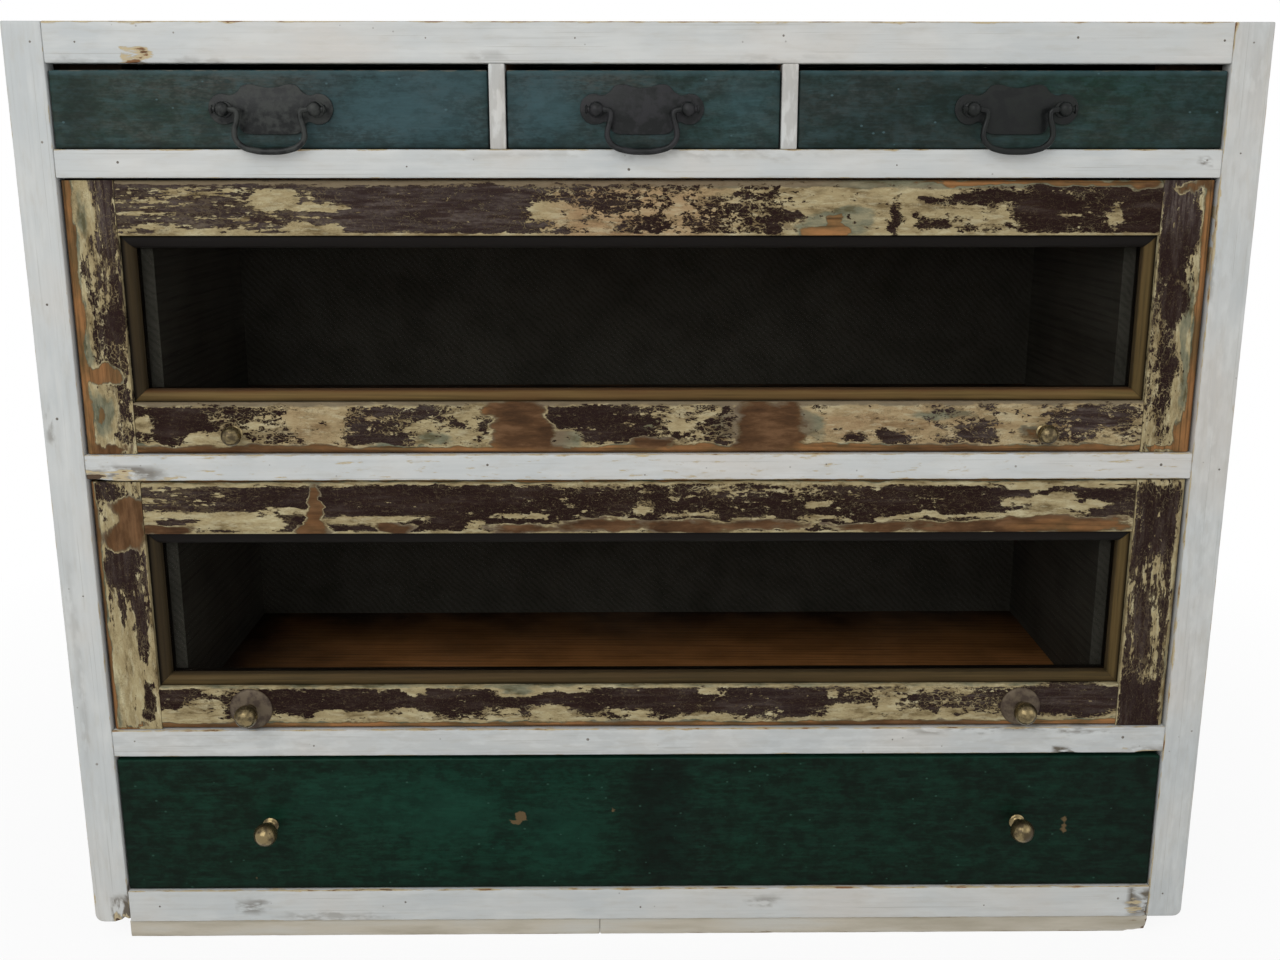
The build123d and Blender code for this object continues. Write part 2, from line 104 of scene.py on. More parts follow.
class ChestPaint(bpy.types.PropertyGroup):
    """Colours of the paint layers and the woods."""

    frame_grey: colour_setting("Frame grey", "Top coat of the face frame and the case", 199, 201, 199)
    frame_cream: colour_setting("Frame cream", "Old cream coat under the grey", 186, 170, 136)
    bare_wood: colour_setting("Bare wood", "Pine where the paint is worn through", 150, 108, 72)
    bare_dark: colour_setting("Dark grain", "Late wood and dirt in the bare pine", 88, 58, 38)
    sash_brown: colour_setting("Sash brown", "Chipped top coat of the sashes", 34, 20, 17)
    sash_cream: colour_setting("Sash cream", "Cream coat under the brown", 154, 139, 104)
    sash_primer: colour_setting("Sash primer", "Grey-green first coat of the sashes", 104, 107, 90)
    top_teal: colour_setting("Top teal", "Blue-green parts of the top drawers", 42, 64, 68)
    top_green: colour_setting("Top green", "Main colour of the top drawers", 28, 42, 38)
    bottom_teal: colour_setting("Bottom teal", "Brighter parts of the bottom drawer", 12, 48, 36)
    bottom_green: colour_setting("Bottom green", "Main colour of the bottom drawer", 17, 28, 21)
    bead_olive: colour_setting("Bead olive", "Stained glazing beads", 106, 87, 50)
    plinth_cream: colour_setting("Plinth cream", "Old paint of the plinth", 190, 183, 168)
    case_pine: colour_setting("Case pine", "Unpainted pine inside the case", 160, 116, 76)
    box_brown: colour_setting("Box brown", "Dusty drawer boxes", 82, 78, 73)


class ChestHardware(bpy.types.PropertyGroup):
    """Sizes of the handles, the knobs and the nails."""

    bail_wire: length_setting("Bail wire", "Radius of the bail's wire at its legs", 0.00275)
    bail_belly: length_setting("Bail belly", "Radius of the bail's wire at the bottom", 0.0031)
    nail_head: length_setting("Nail head", "Radius of the nail heads in the face frame", 0.0017)
    iron: colour_setting("Iron", "Dark iron of the bail handles", 19, 21, 21)
    brass: colour_setting("Brass", "Aged brass of the knobs", 128, 113, 80)


class ChestStudio(bpy.types.PropertyGroup):
    """Camera place and lamp strengths."""

    lens: FloatProperty(name="Lens", description="Focal length", default=37.8, unit="CAMERA", min=1)
    distance: length_setting("Distance", "From the camera to the face of the chest", 1.3287)
    side: FloatProperty(
        name="Side", description="How far the camera stands to the right", default=-0.0134, unit="LENGTH"
    )
    drop: length_setting("Drop", "From the top of the chest down to the camera", 0.1191)
    pitch: FloatProperty(
        name="Pitch", description="How far the camera looks down", default=math.radians(13.734), subtype="ANGLE"
    )
    turn: FloatProperty(
        name="Turn", description="How far the camera looks to the right", default=math.radians(0.557), subtype="ANGLE"
    )
    key_power: FloatProperty(name="Key", description="Power of the large front lamp", default=46, unit="POWER")
    fill_power: FloatProperty(name="Fill", description="Power of the side lamp", default=11, unit="POWER")
    sky: FloatProperty(name="Sky", description="Strength of the even light all round", default=0.52, min=0)


# ---------------------------------------- materials


def dim(colour, share, lift=0.0):
    """A colour made darker, or brighter and lifted by an even amount."""
    return tuple(min(1, c * share + lift) for c in colour)


class Nodes:
    """A node tree, with one short method for each kind of node that every tree here needs."""

    def __init__(self, tree):
        self.tree = tree
        tree.nodes.clear()

    def node(self, kind, inputs=None, **settings):
        made = self.tree.nodes.new(kind)
        for key, value in settings.items():
            setattr(made, key, value)
        for key, value in (inputs or {}).items():
            socket = made.inputs[key]
            if isinstance(value, bpy.types.NodeSocket):
                self.tree.links.new(value, socket)
            elif socket.type == "RGBA" and len(value) == 3:
                socket.default_value = (*value, 1)
            else:
                socket.default_value = value
        return made

    def maths(self, operation, *values, clamp=False):
        inputs = dict(enumerate(values))
        return self.node("ShaderNodeMath", inputs, operation=operation, use_clamp=clamp).outputs[0]

    def times(self, first, second, clamp=False):
        return self.maths("MULTIPLY", first, second, clamp=clamp)

    def line(self, value, slope, start, clamp=False):
        """The value times the slope, plus the start."""
        return self.maths("MULTIPLY_ADD", value, slope, start, clamp=clamp)

    def vector(self, operation, inputs):
        return self.node("ShaderNodeVectorMath", inputs, operation=operation).outputs[0]

    def layered(self, factor, first, second):
        """The first shader where the factor is 0, the second where it is 1."""
        inputs = {0: factor, 1: first.outputs[0], 2: second.outputs[0]}
        return self.node("ShaderNodeMixShader", inputs)

    def looked_at(self):
        """1 for a ray that the picture or a mirror shows, 0 for one that gathers light."""
        rays = self.node("ShaderNodeLightPath").outputs
        shown = self.maths("MAXIMUM", rays["Is Camera Ray"], rays["Is Glossy Ray"])
        return self.maths("MAXIMUM", shown, rays["Is Transmission Ray"])


class Finish(Nodes):
    """A material's node tree; the axis is the one that the grain runs along."""

    def __init__(self, name, axis="X"):
        self.material = bpy.data.materials.new(name)
        self.material.use_nodes = True
        super().__init__(self.material.node_tree)
        self.axis = "XYZ".index(axis)
        self.place = self.node("ShaderNodeTexCoord").outputs["Object"]

    def grain(self, along, across):
        """Coordinates with that many cells to the metre along the grain and across it."""
        scale = [across] * 3
        scale[self.axis] = along
        return self.node("ShaderNodeMapping", {"Vector": self.place, "Scale": scale}).outputs[0]

    def noise(self, vector, scale=1.0, detail=3.0, rough=0.55, warp=0.0):
        inputs = {"Vector": vector, "Scale": scale, "Detail": detail, "Roughness": rough, "Distortion": warp}
        return self.node("ShaderNodeTexNoise", inputs).outputs[0]

    def streaks(self, along, across, detail=3.0, rough=0.55, warp=0.0):
        """Noise drawn out along the grain."""
        return self.noise(self.grain(along, across), 1.0, detail, rough, warp)

    def cells(self, inputs, **settings):
        return self.node("ShaderNodeTexVoronoi", {"Scale": 1.0, **inputs}, **settings).outputs

    def axes(self):
        return self.node("ShaderNodeSeparateXYZ", {"Vector": self.place}).outputs

    def blend(self, factor, first, second):
        """The first value where the factor is 0, the second where it is 1."""
        return self.node("ShaderNodeMix", {0: factor, 2: first, 3: second}).outputs[0]

    def mix(self, factor, first, second, mode="MIX"):
        """The first colour where the factor is 0, the second where it is 1."""
        inputs = {0: factor, 6: first, 7: second}
        return self.node("ShaderNodeMix", inputs, data_type="RGBA", blend_type=mode).outputs[2]

    def coats(self, colour, *coats):
        """Lays coats over a colour; each is its colour, where it lies, and how strong it is there."""
        for coat, where, strength in coats:
            colour = self.mix(self.times(where, strength), colour, coat)
        return colour

    def crisp(self, value, threshold, sharpness):
        """1 where the value is over the threshold, with an edge as narrow as the sharpness is high."""
        return self.line(self.maths("SUBTRACT", value, threshold), sharpness, 0.5, clamp=True)

    def ramp(self, value, *stops):
        made = self.node("ShaderNodeValToRGB", {"Fac": value})
        elements = made.color_ramp.elements
        while len(elements) < len(stops):
            elements.new(0.5)
        for element, (place, colour) in zip(elements, stops):
            element.position = place
            element.color = (*colour, 1)
        return made.outputs[0]

    def wear(self, layer="wear"):
        """Four of the amounts painted on the mesh."""
        attribute = self.node("ShaderNodeAttribute", attribute_name=layer)
        split = self.node("ShaderNodeSeparateColor", {"Color": attribute.outputs["Color"]})
        return (*split.outputs, attribute.outputs["Alpha"])

    def flakes(self, along, across, warp=0.25):
        """Cells of cracked paint: a random number for each cell, and how far a point is from its cracks."""
        inputs = {"Vector": self.grain(along * 1.4, across * 1.4), "Scale": 1.0, "Detail": 2.0}
        bent = self.node("ShaderNodeTexNoise", inputs).outputs["Color"]
        centred = self.vector("SUBTRACT", {0: bent, 1: (0.5, 0.5, 0.5)})
        push = self.vector("SCALE", {0: centred, "Scale": warp * 8})
        inputs = {"Vector": self.vector("ADD", {0: self.grain(along, across), 1: push}), "Randomness": 0.72}
        cell = self.node("ShaderNodeSeparateColor", {"Color": self.cells(inputs)["Color"]}).outputs[0]
        return cell, self.cells(inputs, feature="DISTANCE_TO_EDGE")["Distance"]

    def spread(self, value, gain=3.0):
        """Stretches a noise out from its middle, so that it fills 0 to 1 evenly."""
        return self.crisp(value, 0.5, gain)

    def shaken(self, value, shake, amount):
        """A value moved up and down by a noise that is centred on a half."""
        return self.line(self.maths("SUBTRACT", shake, 0.5), amount, value)

    def wood(self, dark, light, spacing=0.009):
        """Colour and height of planed pine, with growth rings that far apart, drawn out along the grain."""
        inputs = {"Vector": self.grain(1.5, WAVE_LENGTH / spacing), "Scale": 1.0, "Distortion": 9.0}
        inputs.update({"Detail": 4.0, "Detail Scale": 0.5, "Detail Roughness": 0.65})
        wave = self.node("ShaderNodeTexWave", inputs, wave_type="BANDS", bands_direction="DIAGONAL")
        rings = self.blend(0.62, wave.outputs["Fac"], self.spread(self.streaks(14, 700), 2.2))
        middle = tuple(a * 0.3 + b * 0.7 for a, b in zip(dark, light))
        colour = self.ramp(rings, (0.1, dark), (0.42, middle), (0.8, light))
        aged = self.line(self.streaks(4, 22, 4), 1.4, 0.2, clamp=True)
        tint = self.ramp(aged, (0.3, (0.55, 0.53, 0.5)), (1.0, (1, 1, 1)))
        return self.mix(1.0, colour, tint, "MULTIPLY"), rings

    def finish(self, colour, roughness, height, relief, **sockets):
        """The shader itself; relief is the bump's depth in metres."""
        bump = self.node("ShaderNodeBump", {"Height": height, "Distance": relief, "Strength": 1.0})
        inputs = {"Base Color": colour, "Roughness": roughness, "Normal": bump.outputs[0]}
        inputs.update({key.replace("_", " "): value for key, value in sockets.items()})
        return self.finished(self.node("ShaderNodeBsdfPrincipled", inputs))

    def finished(self, shader):
        self.node("ShaderNodeOutputMaterial", {"Surface": shader.outputs[0]})
        return self.material


def frame_paint(axis, paint):
    """Satin grey over cream over pine; rubbed thin along the arrises, with old knocks and brush marks."""
    f = Finish(f"frame_paint_{axis.lower()}", axis)
    edge, bare, rust, dirt = f.wear()
    brush = f.streaks(7, 380)
    cloud = f.noise(f.place, 6, detail=4)
    scuff = f.streaks(24, 120, 6, 0.68)
    tone = f.ramp(cloud, (0.34, seen(190, 194, 194)), (0.5, paint.frame_grey), (0.66, seen(203, 200, 194)))
    tone = f.coats(
        tone,
        (seen(166, 169, 168), f.spread(brush, 2.4), 0.2),
        (seen(176, 170, 156), f.crisp(scuff, 0.58, 7), 0.22),
        (seen(212, 213, 210), f.crisp(f.streaks(14, 70, 5), 0.58, 6), 0.4),
        (seen(150, 148, 140), f.crisp(0.33, f.streaks(5, 620, 2, warp=0.2), 16), 0.35),
    )
    # The fourth wear channel darkens the grey in mottled patches: dirt, and painted shade where a board's base amount
    # darkens all of it.
    soil = f.crisp(f.streaks(48, 130, 5), 0.46, 8)
    tone = f.mix(f.times(dirt, soil, clamp=True), tone, seen(96, 88, 76))
    specks = f.cells({"Vector": f.place, "Scale": 46.0})["Distance"]
    tone = f.coats(tone, (seen(110, 104, 94), f.crisp(0.04, specks, 70), 0.5))
    ragged = f.streaks(38, 190, 6, 0.68)
    lost = f.shaken(edge, ragged, 2.2)
    cream_shown = f.crisp(lost, 0.80, 6)
    deep = f.maths("MAXIMUM", f.maths("SUBTRACT", lost, 0.3), f.shaken(bare, ragged, 1.4))
    wood_shown = f.crisp(deep, 0.80, 12)
    wood, _ = f.wood(paint.bare_dark, paint.bare_wood, 0.006)
    wood = f.mix(rust, wood, seen(84, 66, 50))
    colour = f.mix(wood_shown, f.mix(cream_shown, tone, paint.frame_cream), wood)
    rough = f.blend(wood_shown, f.line(scuff, 0.3, 0.34), 0.75)
    height = f.maths("SUBTRACT", f.times(brush, 0.4), f.maths("ADD", cream_shown, wood_shown))
    return f.finish(colour, rough, height, 0.00022, Specular_IOR_Level=0.3)


def sash_paint(axis, paint):
    """Brown over cream over grey-green over pine, cracked and flaked off along the grain."""
    f = Finish(f"sash_paint_{axis.lower()}", axis)
    chip, bare, block, dirt = f.wear()
    haze, undercoat, glow, _ = f.wear("tint")
    streak = f.streaks(13, 170, 6, 0.68, 0.3)
    fine = f.streaks(120, 420, rough=0.6)
    big, big_crack = f.flakes(62, 130)
    small, small_crack = f.flakes(170, 300)
    lumps = f.spread(f.streaks(45, 95, 5, 0.6), 3.4)
    streaky = f.blend(0.3, f.spread(streak, 3.2), f.spread(fine))
    blocky = f.line(small, 0.3, f.line(big, 0.28, f.times(lumps, 0.42)))
    flecks = f.spread(f.streaks(80, 200, 5, 0.72), 4.0)
    thick = f.blend(0.3, f.blend(block, streaky, f.spread(blocky, 1.7)), flecks)
    thick = f.shaken(f.line(f.maths("SUBTRACT", thick, 0.5), 1.35, 0.54), fine, 0.4)
    ragged = f.streaks(34, 80, 6, 0.66)
    patchy = f.streaks(22, 60, 4, 0.6)
    opened = f.times(f.crisp(chip, 0.14, 8), f.times(chip, 0.15))
    cracked = f.times(opened, f.times(f.spread(patchy, 3.6), 1.6))
    split = f.times(f.crisp(big_crack, cracked, 40), f.crisp(small_crack, f.times(cracked, 0.5), 40))
    hidden = f.maths("SUBTRACT", 1.0, f.line(block, 1.2, 0.15, clamp=True))
    whole = f.maths("MAXIMUM", split, hidden)
    depth = f.shaken(f.shaken(bare, ragged, 1.3), fine, 0.5)
    brown_kept = f.times(f.times(f.crisp(thick, chip, 24), whole), f.crisp(0.36, depth, 10))
    under = f.shaken(undercoat, ragged, 1.6)
    ring = f.crisp(depth, f.shaken(0.5, patchy, 1.5), 6)
    primer_shown = f.maths("MAXIMUM", ring, f.times(f.crisp(under, 0.5, 3), 0.85))
    wood_shown = f.blend(dirt, f.crisp(depth, 0.64, 8), f.crisp(depth, 0.6, 3))

    hatch = f.spread(f.streaks(210, 520, 2), 1.6)
    dust = f.streaks(16, 60, 5, 0.62)
    rubs = f.crisp(f.streaks(26, 240, 4, 0.6), 0.5, 7)
    scuffed = f.times(f.shaken(haze, dust, 2.0), f.times(rubs, hatch), clamp=True)
    brown = f.coats(
        paint.sash_brown,
        (seen(58, 42, 34), f.crisp(dust, 0.56, 5), 0.3),
        (seen(82, 70, 70), haze, 0.26),
        (seen(108, 98, 92), scuffed, 0.9),
        (seen(96, 82, 62), f.crisp(f.streaks(180, 360, 2), 0.68, 16), 0.45),
    )
    stain = f.streaks(20, 70, 6, 0.7)
    pale, palest = (0.56, seen(168, 154, 117)), (0.66, seen(190, 180, 146))
    cream = f.coats(
        f.ramp(stain, (0.36, seen(108, 93, 64)), (0.46, paint.sash_cream), pale, palest),
        (seen(158, 124, 92), glow, 0.75),
        (seen(104, 90, 62), f.crisp(f.streaks(70, 200, 5, 0.7), 0.56, 9), 0.35),
        (seen(194, 186, 154), f.crisp(f.streaks(60, 220, 5, 0.66), 0.57, 9), 0.4),
        (seen(92, 78, 54), f.times(f.crisp(0.04, small_crack, 20), f.crisp(patchy, 0.52, 6)), 0.45),
    )
    primer = f.ramp(stain, (0.4, seen(78, 76, 56)), (0.5, paint.sash_primer), (0.62, seen(136, 130, 104)))
    primer = f.mix(dirt, primer, seen(108, 95, 78))
    tan, rings = f.wood(seen(104, 74, 46), seen(162, 116, 74), 0.007)
    olive, _ = f.wood(seen(70, 54, 34), seen(118, 92, 60), 0.007)
    rubbed = f.streaks(18, 70, 6, 0.66)
    rubbed = f.ramp(rubbed, (0.36, seen(62, 44, 30)), (0.5, seen(84, 60, 40)), (0.62, seen(108, 80, 56)))
    wood = f.mix(f.crisp(patchy, 0.5, 5), olive, tan)
    wood = f.mix(f.times(f.shaken(dirt, dust, 0.8), 1.0, clamp=True), wood, rubbed)
    shade = f.times(f.crisp(depth, 0.56, 8), f.crisp(0.74, depth, 8))
    rim = f.times(f.crisp(thick, f.maths("SUBTRACT", chip, 0.05), 16), f.crisp(0.36, depth, 12))
    colour = f.mix(wood_shown, f.mix(primer_shown, cream, primer), wood)
    colour = f.mix(f.times(shade, f.times(f.spread(patchy), 0.7)), colour, seen(92, 78, 54))
    colour = f.coats(colour, (seen(98, 82, 58), rim, 0.5))
    colour = f.mix(brown_kept, colour, brown)
    # More than this far behind the front the sash is darkened to near black: painted shade in the recesses seen
    # through the glass.
    shade_behind_depth = 11 * MM
    behind = f.crisp(f.axes()["Y"], FACE_Y + shade_behind_depth, 400)
    colour = f.mix(behind, colour, seen(26, 20, 16))
    rough = f.blend(brown_kept, f.blend(wood_shown, 0.6, 0.75), f.line(dust, 0.4, 0.3))
    layers = f.maths("SUBTRACT", brown_kept, f.times(wood_shown, 0.9))
    height = f.line(f.maths("ADD", streak, rings), 0.2, layers)
    return f.finish(colour, rough, height, 0.0004, Specular_IOR_Level=0.05)


def green_paint(name, main, second, third, scuffed, spot, gloss):
    """Dark gloss paint, cloudy, with soft scuffs, hair cracks and a few knocks; painted shade darkens it and a
    painted highlight lightens its top arris.
    """
    f = Finish(name)
    toward_second, toward_third, scuffs, chips = f.wear()
    shade, bloom_and_highlight, _, _ = f.wear("tint")
    cloud = f.streaks(12, 22, 7, 0.66)
    drift = f.streaks(24, 42, 6, 0.66)
    streak = f.streaks(36, 300, 4, 0.6)
    mottle = f.streaks(70, 120, 5, 0.7)
    hatch = f.spread(f.streaks(130, 520, 2), 2.4)
    colour = f.mix(f.times(f.shaken(toward_second, cloud, 1.5), 1.0, clamp=True), main, second)
    colour = f.mix(f.times(f.shaken(toward_third, drift, 1.5), 1.0, clamp=True), colour, third)
    rubbed = f.times(f.shaken(scuffs, cloud, 2.6), 1.0, clamp=True)
    rubbed = f.times(rubbed, f.line(hatch, 0.6, 0.4))
    fissures, cuts = f.flakes(26, 210, warp=0.4)
    colour = f.coats(
        colour,
        (scuffed, rubbed, 0.8),
        (dim(main, 0.45), f.times(f.crisp(0.05, cuts, 18), f.crisp(drift, 0.5, 6)), 0.5),
        (dim(second, 1.8, 0.01), f.crisp(fissures, 0.8, 6), 0.12),
        (dim(second, 2.2, 0.008), f.crisp(streak, 0.6, 8), 0.16),
        (dim(main, 0.6), f.crisp(0.42, streak, 8), 0.3),
        (dim(main, 0.55), f.crisp(mottle, 0.54, 10), 0.45),
        (dim(second, 1.6, 0.004), f.crisp(0.45, mottle, 9), 0.2),
        # Painted shade: darker along a front's lower edge, under the rail at the bottom drawer's top and over most of
        # the right drawer; elsewhere darker patches of the paint.
        (dim(main, 0.35), shade, 0.75),
    )
    # Lighter paint: pale bloom in patches, and a painted highlight along the top arris.
    bright = f.times(f.shaken(bloom_and_highlight, drift, 1.2), 0.8, clamp=True)
    colour = f.mix(bright, colour, dim(second, 1.7, 0.004))
    specks = f.cells({"Vector": f.grain(52, 70)})["Distance"]
    colour = f.coats(colour, (dim(second, 2.2, 0.03), f.crisp(0.07, specks, 40), 0.5))
    flaked = f.crisp(f.shaken(chips, f.streaks(80, 170, 5, 0.65), 1.6), 0.66, 4)
    colour = f.mix(flaked, colour, spot)
    rough = f.line(f.maths("ADD", rubbed, cloud), 0.2, 0.3)
    height = f.maths("SUBTRACT", f.times(f.maths("ADD", streak, drift), 0.5), flaked)
    return f.finish(colour, rough, height, 0.0002, Specular_IOR_Level=gloss)


def plain_pine(name, axis, dark, light, roughness=0.6, knotty=True, deep=False, planks=None):
    """Planed boards with growth rings and a few knots; planks is where the first one starts, and their width.

    A deep board lies inside a drawer and is darkened with painted shade towards its back and its left side.
    """
    f = Finish(name, axis)
    if planks:
        number = f.maths("DIVIDE", f.maths("SUBTRACT", f.axes()["X"], planks[0]), planks[1])
        inputs = {"W": f.maths("FLOOR", number)}
        own = f.node("ShaderNodeTexWhiteNoise", inputs, noise_dimensions="1D").outputs["Value"]
        shift = f.node("ShaderNodeCombineXYZ", {"X": f.times(own, 0.7), "Z": f.times(own, 5.0)})
        f.place = f.vector("ADD", {0: f.place, 1: shift.outputs[0]})
    colour, rings = f.wood(dark, light, 0.016 if planks else 0.009)
    if planks:
        colour = f.coats(colour, (dim(dark, 0.8), own, 0.55))
    if knotty:
        near = f.cells({"Vector": f.grain(4.5, 8.1), "Randomness": 1.0})["Distance"]
        ragged = f.line(f.streaks(60, 60), 0.05, near)
        colour = f.mix(f.crisp(0.075, ragged, 22), colour, dim(dark, 0.35))
    dust = f.noise(f.place, 14, detail=4)
    colour = f.coats(colour, (dim(dark, 0.6), f.crisp(dust, 0.55, 4), 0.25))
    # Painted shade inside a drawer, darker towards the back and towards the left side.
    if deep:
        axes = f.axes()
        back = f.line(axes["Y"], 4.4, 0.3, clamp=True)
        side = f.line(axes["X"], -4.0, -0.95, clamp=True)
        colour = f.mix(f.shaken(f.maths("MAXIMUM", back, side), dust, 0.5), colour, dim(dark, 0.08))
    return f.finish(colour, f.line(dust, 0.2, roughness - 0.1), rings, 0.00012, Specular_IOR_Level=0.08)


def bead_stain(axis, paint):
    """Olive-brown varnish, rubbed light on the round, and nearly black in places: painted shade where a bead lies in
    the shadow of the sash.
    """
    f = Finish(f"bead_stain_{axis.lower()}", axis)
    dark, red, _, _ = f.wear()
    streak = f.streaks(9, 420, 4)
    cloud = f.streaks(12, 60, 5)
    olive = paint.bead_olive
    tone = f.blend(0.45, f.spread(streak, 1.6), f.spread(cloud, 1.4))
    colour = f.ramp(tone, (0.15, dim(olive, 0.4)), (0.5, olive), (0.85, seen(128, 106, 66)))
    colour = f.mix(f.times(f.shaken(red, cloud, 1.5), 0.8, clamp=True), colour, seen(88, 58, 34))
    # The first wear channel takes the stain to near black: painted shade, full on the head bead and strong on the
    # left bead.
    colour = f.mix(dark, colour, seen(20, 17, 15))
    return f.finish(colour, f.line(cloud, 0.4, 0.3), streak, 0.0002, Specular_IOR_Level=0.08)


def plinth_paint(paint):
    """Old cream-grey paint gone dull, with knocks along its edges."""
    f = Finish("plinth_paint")
    edge, bare, _, _ = f.wear()
    cloud = f.streaks(6, 40, 5)
    streak = f.streaks(12, 300, 4)
    ragged = f.streaks(30, 130, 6, 0.66)
    worn = f.crisp(f.shaken(edge, ragged, 1.9), 0.85, 8)
    colour = f.coats(
        f.ramp(cloud, (0.34, seen(166, 158, 140)), (0.5, paint.plinth_cream), (0.66, seen(194, 192, 184))),
        (seen(158, 150, 134), f.spread(streak, 2.2), 0.25),
        (seen(128, 110, 84), worn, 0.75),
    )
    colour = f.mix(f.crisp(f.shaken(bare, ragged, 1.4), 0.7, 9), colour, seen(98, 74, 52))
    height = f.maths("SUBTRACT", streak, worn)
    return f.finish(colour, f.line(cloud, 0.3, 0.42), height, 0.0002, Specular_IOR_Level=0.3)


def pane_glass():
    """Thin old window glass: clear from in front, a faint reflection at a slant, a little dust."""
    f = Finish("pane_glass")
    ripple = f.streaks(6, 9, 1)
    bump = f.node("ShaderNodeBump", {"Height": ripple, "Distance": 0.0006, "Strength": 1.0}).outputs[0]
    clear = f.node("ShaderNodeBsdfTransparent", {"Color": (0.84, 0.85, 0.83)})
    gloss = f.node("ShaderNodeBsdfAnisotropic", {"Color": (1, 1, 1), "Roughness": 0.04, "Normal": bump})
    facing = f.node("ShaderNodeFresnel", {"IOR": 1.15, "Normal": bump}).outputs[0]
    straight_on = 0.006  # what is left out, so that nothing is mirrored from in front
    pane = f.layered(f.maths("SUBTRACT", facing, straight_on, clamp=True), clear, gloss)
    smear = f.crisp(f.streaks(5, 12, 6, 0.7), 0.58, 3)
    film = f.node("ShaderNodeBsdfDiffuse", {"Color": seen(150, 145, 135)})
    return f.finished(f.layered(f.times(smear, 0.008), pane, film))


def old_metal(name, base, tarnish, metallic, low, high, relief, gloss=0.3):
    """Cast metal with a patchy skin and fine pits; low and high are its roughness."""
    f = Finish(name)
    cloud = f.noise(f.place, 90, detail=5, rough=0.6)
    pits = f.noise(f.place, 900)
    skin = f.crisp(cloud, 0.5, 7)
    height = f.blend(0.6, cloud, pits)
    rough = f.blend(skin, low, high)
    return f.finish(f.mix(skin, base, tarnish), rough, height, relief, Metallic=metallic, Specular_IOR_Level=gloss)


def backdrop_white():
    """Pale floor that keeps the shadow close to the chest and fades to plain white further out."""
    f = Finish("studio_floor")
    flat = f.node("ShaderNodeMapping", {"Vector": f.place, "Scale": (1, 1, 0)}).outputs[0]
    far = f.node("ShaderNodeVectorMath", {0: flat}, operation="LENGTH").outputs["Value"]
    limits = {"From Min": 0.7, "From Max": 1.7, "To Min": 0.91, "To Max": 1.0}
    fade = f.node("ShaderNodeMapRange", {"Value": far, **limits}).outputs[0]
    paper = f.node("ShaderNodeBsdfDiffuse", {"Color": (0.86, 0.86, 0.86)})
    glow = f.node("ShaderNodeEmission", {"Color": (1, 1, 1), "Strength": 1.0})
    return f.finished(f.layered(f.times(f.looked_at(), fade), paper, glow))


# ---------------------------------------- mesh tools


def fresh_edges(bm, before):
    """The edges of all that was added since the vertices were counted."""
    return {edge for vert in bm.verts if vert not in before for edge in vert.link_edges}


def bevel(bm, edges, radius, segments):
    bmesh.ops.bevel(
        bm, geom=edges, offset=radius, segments=segments, profile=0.5, affect="EDGES", material=-1, clamp_overlap=True
    )


def add_cuboid(bm, low, high):
    made = bmesh.ops.create_cube(bm, size=1)["verts"]
    bmesh.ops.scale(bm, vec=high - low, verts=made)
    bmesh.ops.translate(bm, vec=(low + high) / 2, verts=made)


def add_block(bm, low, high, radius, cells, segments=3, wide=()):
    """Adds a block with rounded edges, cut into cells of about the given size on each axis.

    Each wide edge is (axis, sides, radius): the axis that it runs along, and for the other two axes, in
    order, whether it is on the low or the high side. Radius and cells are in millimetres.
    """
    before = set(bm.verts)
    low, high = Vector(low), Vector(high)
    add_cuboid(bm, low, high)
    for axis, sides, bend in wide:
        others = [i for i in range(3) if i != axis]
        goal = {i: (low if side == "low" else high)[i] for i, side in zip(others, sides)}
        edges = fresh_edges(bm, before)
        edges = [e for e in edges if all(abs(v.co[i] - at) < SAME for v in e.verts for i, at in goal.items())]
        bevel(bm, edges, bend * MM, 6)
    bevel(bm, [e for e in fresh_edges(bm, before) if e.calc_face_angle() > ROUND_ABOVE], radius * MM, segments)
    for axis in range(3):
        flat = high[axis] - low[axis] - 2 * radius * MM
        cuts = round(flat / (cells[axis] * MM)) - 1
        if cuts > 0:
            edges = fresh_edges(bm, before)
            runs = [e for e in edges if abs(e.verts[0].co[axis] - e.verts[1].co[axis]) > 0.6 * flat]
            bmesh.ops.subdivide_edges(bm, edges=runs, cuts=cuts, use_grid_fill=True)


def round_foot(verts, corner, side, radius):
    """Rounds the outer foot of a stile; the side is -1 for its left edge and 1 for its right."""
    for vert in verts:
        out = (vert.co.x - corner.x) * side + radius
        down = radius - (vert.co.z - corner.z)
        if out > 0 and down > 0:
            pull = max(out, down) / math.hypot(out, down)
            vert.co.x = corner.x + (out * pull - radius) * side
            vert.co.z = corner.z + radius - down * pull


def rub_down(bm, depth, seed):
    """Moves each vertex in by up to the depth, in millimetres, so that no face is dead flat; edges lose more."""
    bm.normal_update()
    depth *= MM
    size = 0.03
    shift = Vector((seed * 3.7, seed * 1.3, seed * 2.1))
    for vert in bm.verts:
        edge = 1 - max(abs(part) for part in vert.normal)
        swell = 0.5 + 0.5 * noise.noise(vert.co / size + shift)
        nicks = max(0.0, noise.noise(vert.co / (size * 0.35) + shift)) ** 2
        vert.co -= vert.normal * (depth * swell * 0.4 + depth * edge * (0.8 * swell + 5 * nicks))


def dent(verts, places):
    """Pushes in round hollows; each place is a centre, three half-sizes and a push, these two in millimetres."""
    for centre, half, push in places:
        for vert in verts:
            offset = vert.co - centre
            reach = math.sqrt(sum((offset[i] / (half[i] * MM)) ** 2 for i in range(3)))
            if reach < 1:
                ragged = 0.75 + 0.5 * noise.noise(vert.co * 260)
                vert.co += Vector(push) * MM * ((1 - reach * reach) * ragged)


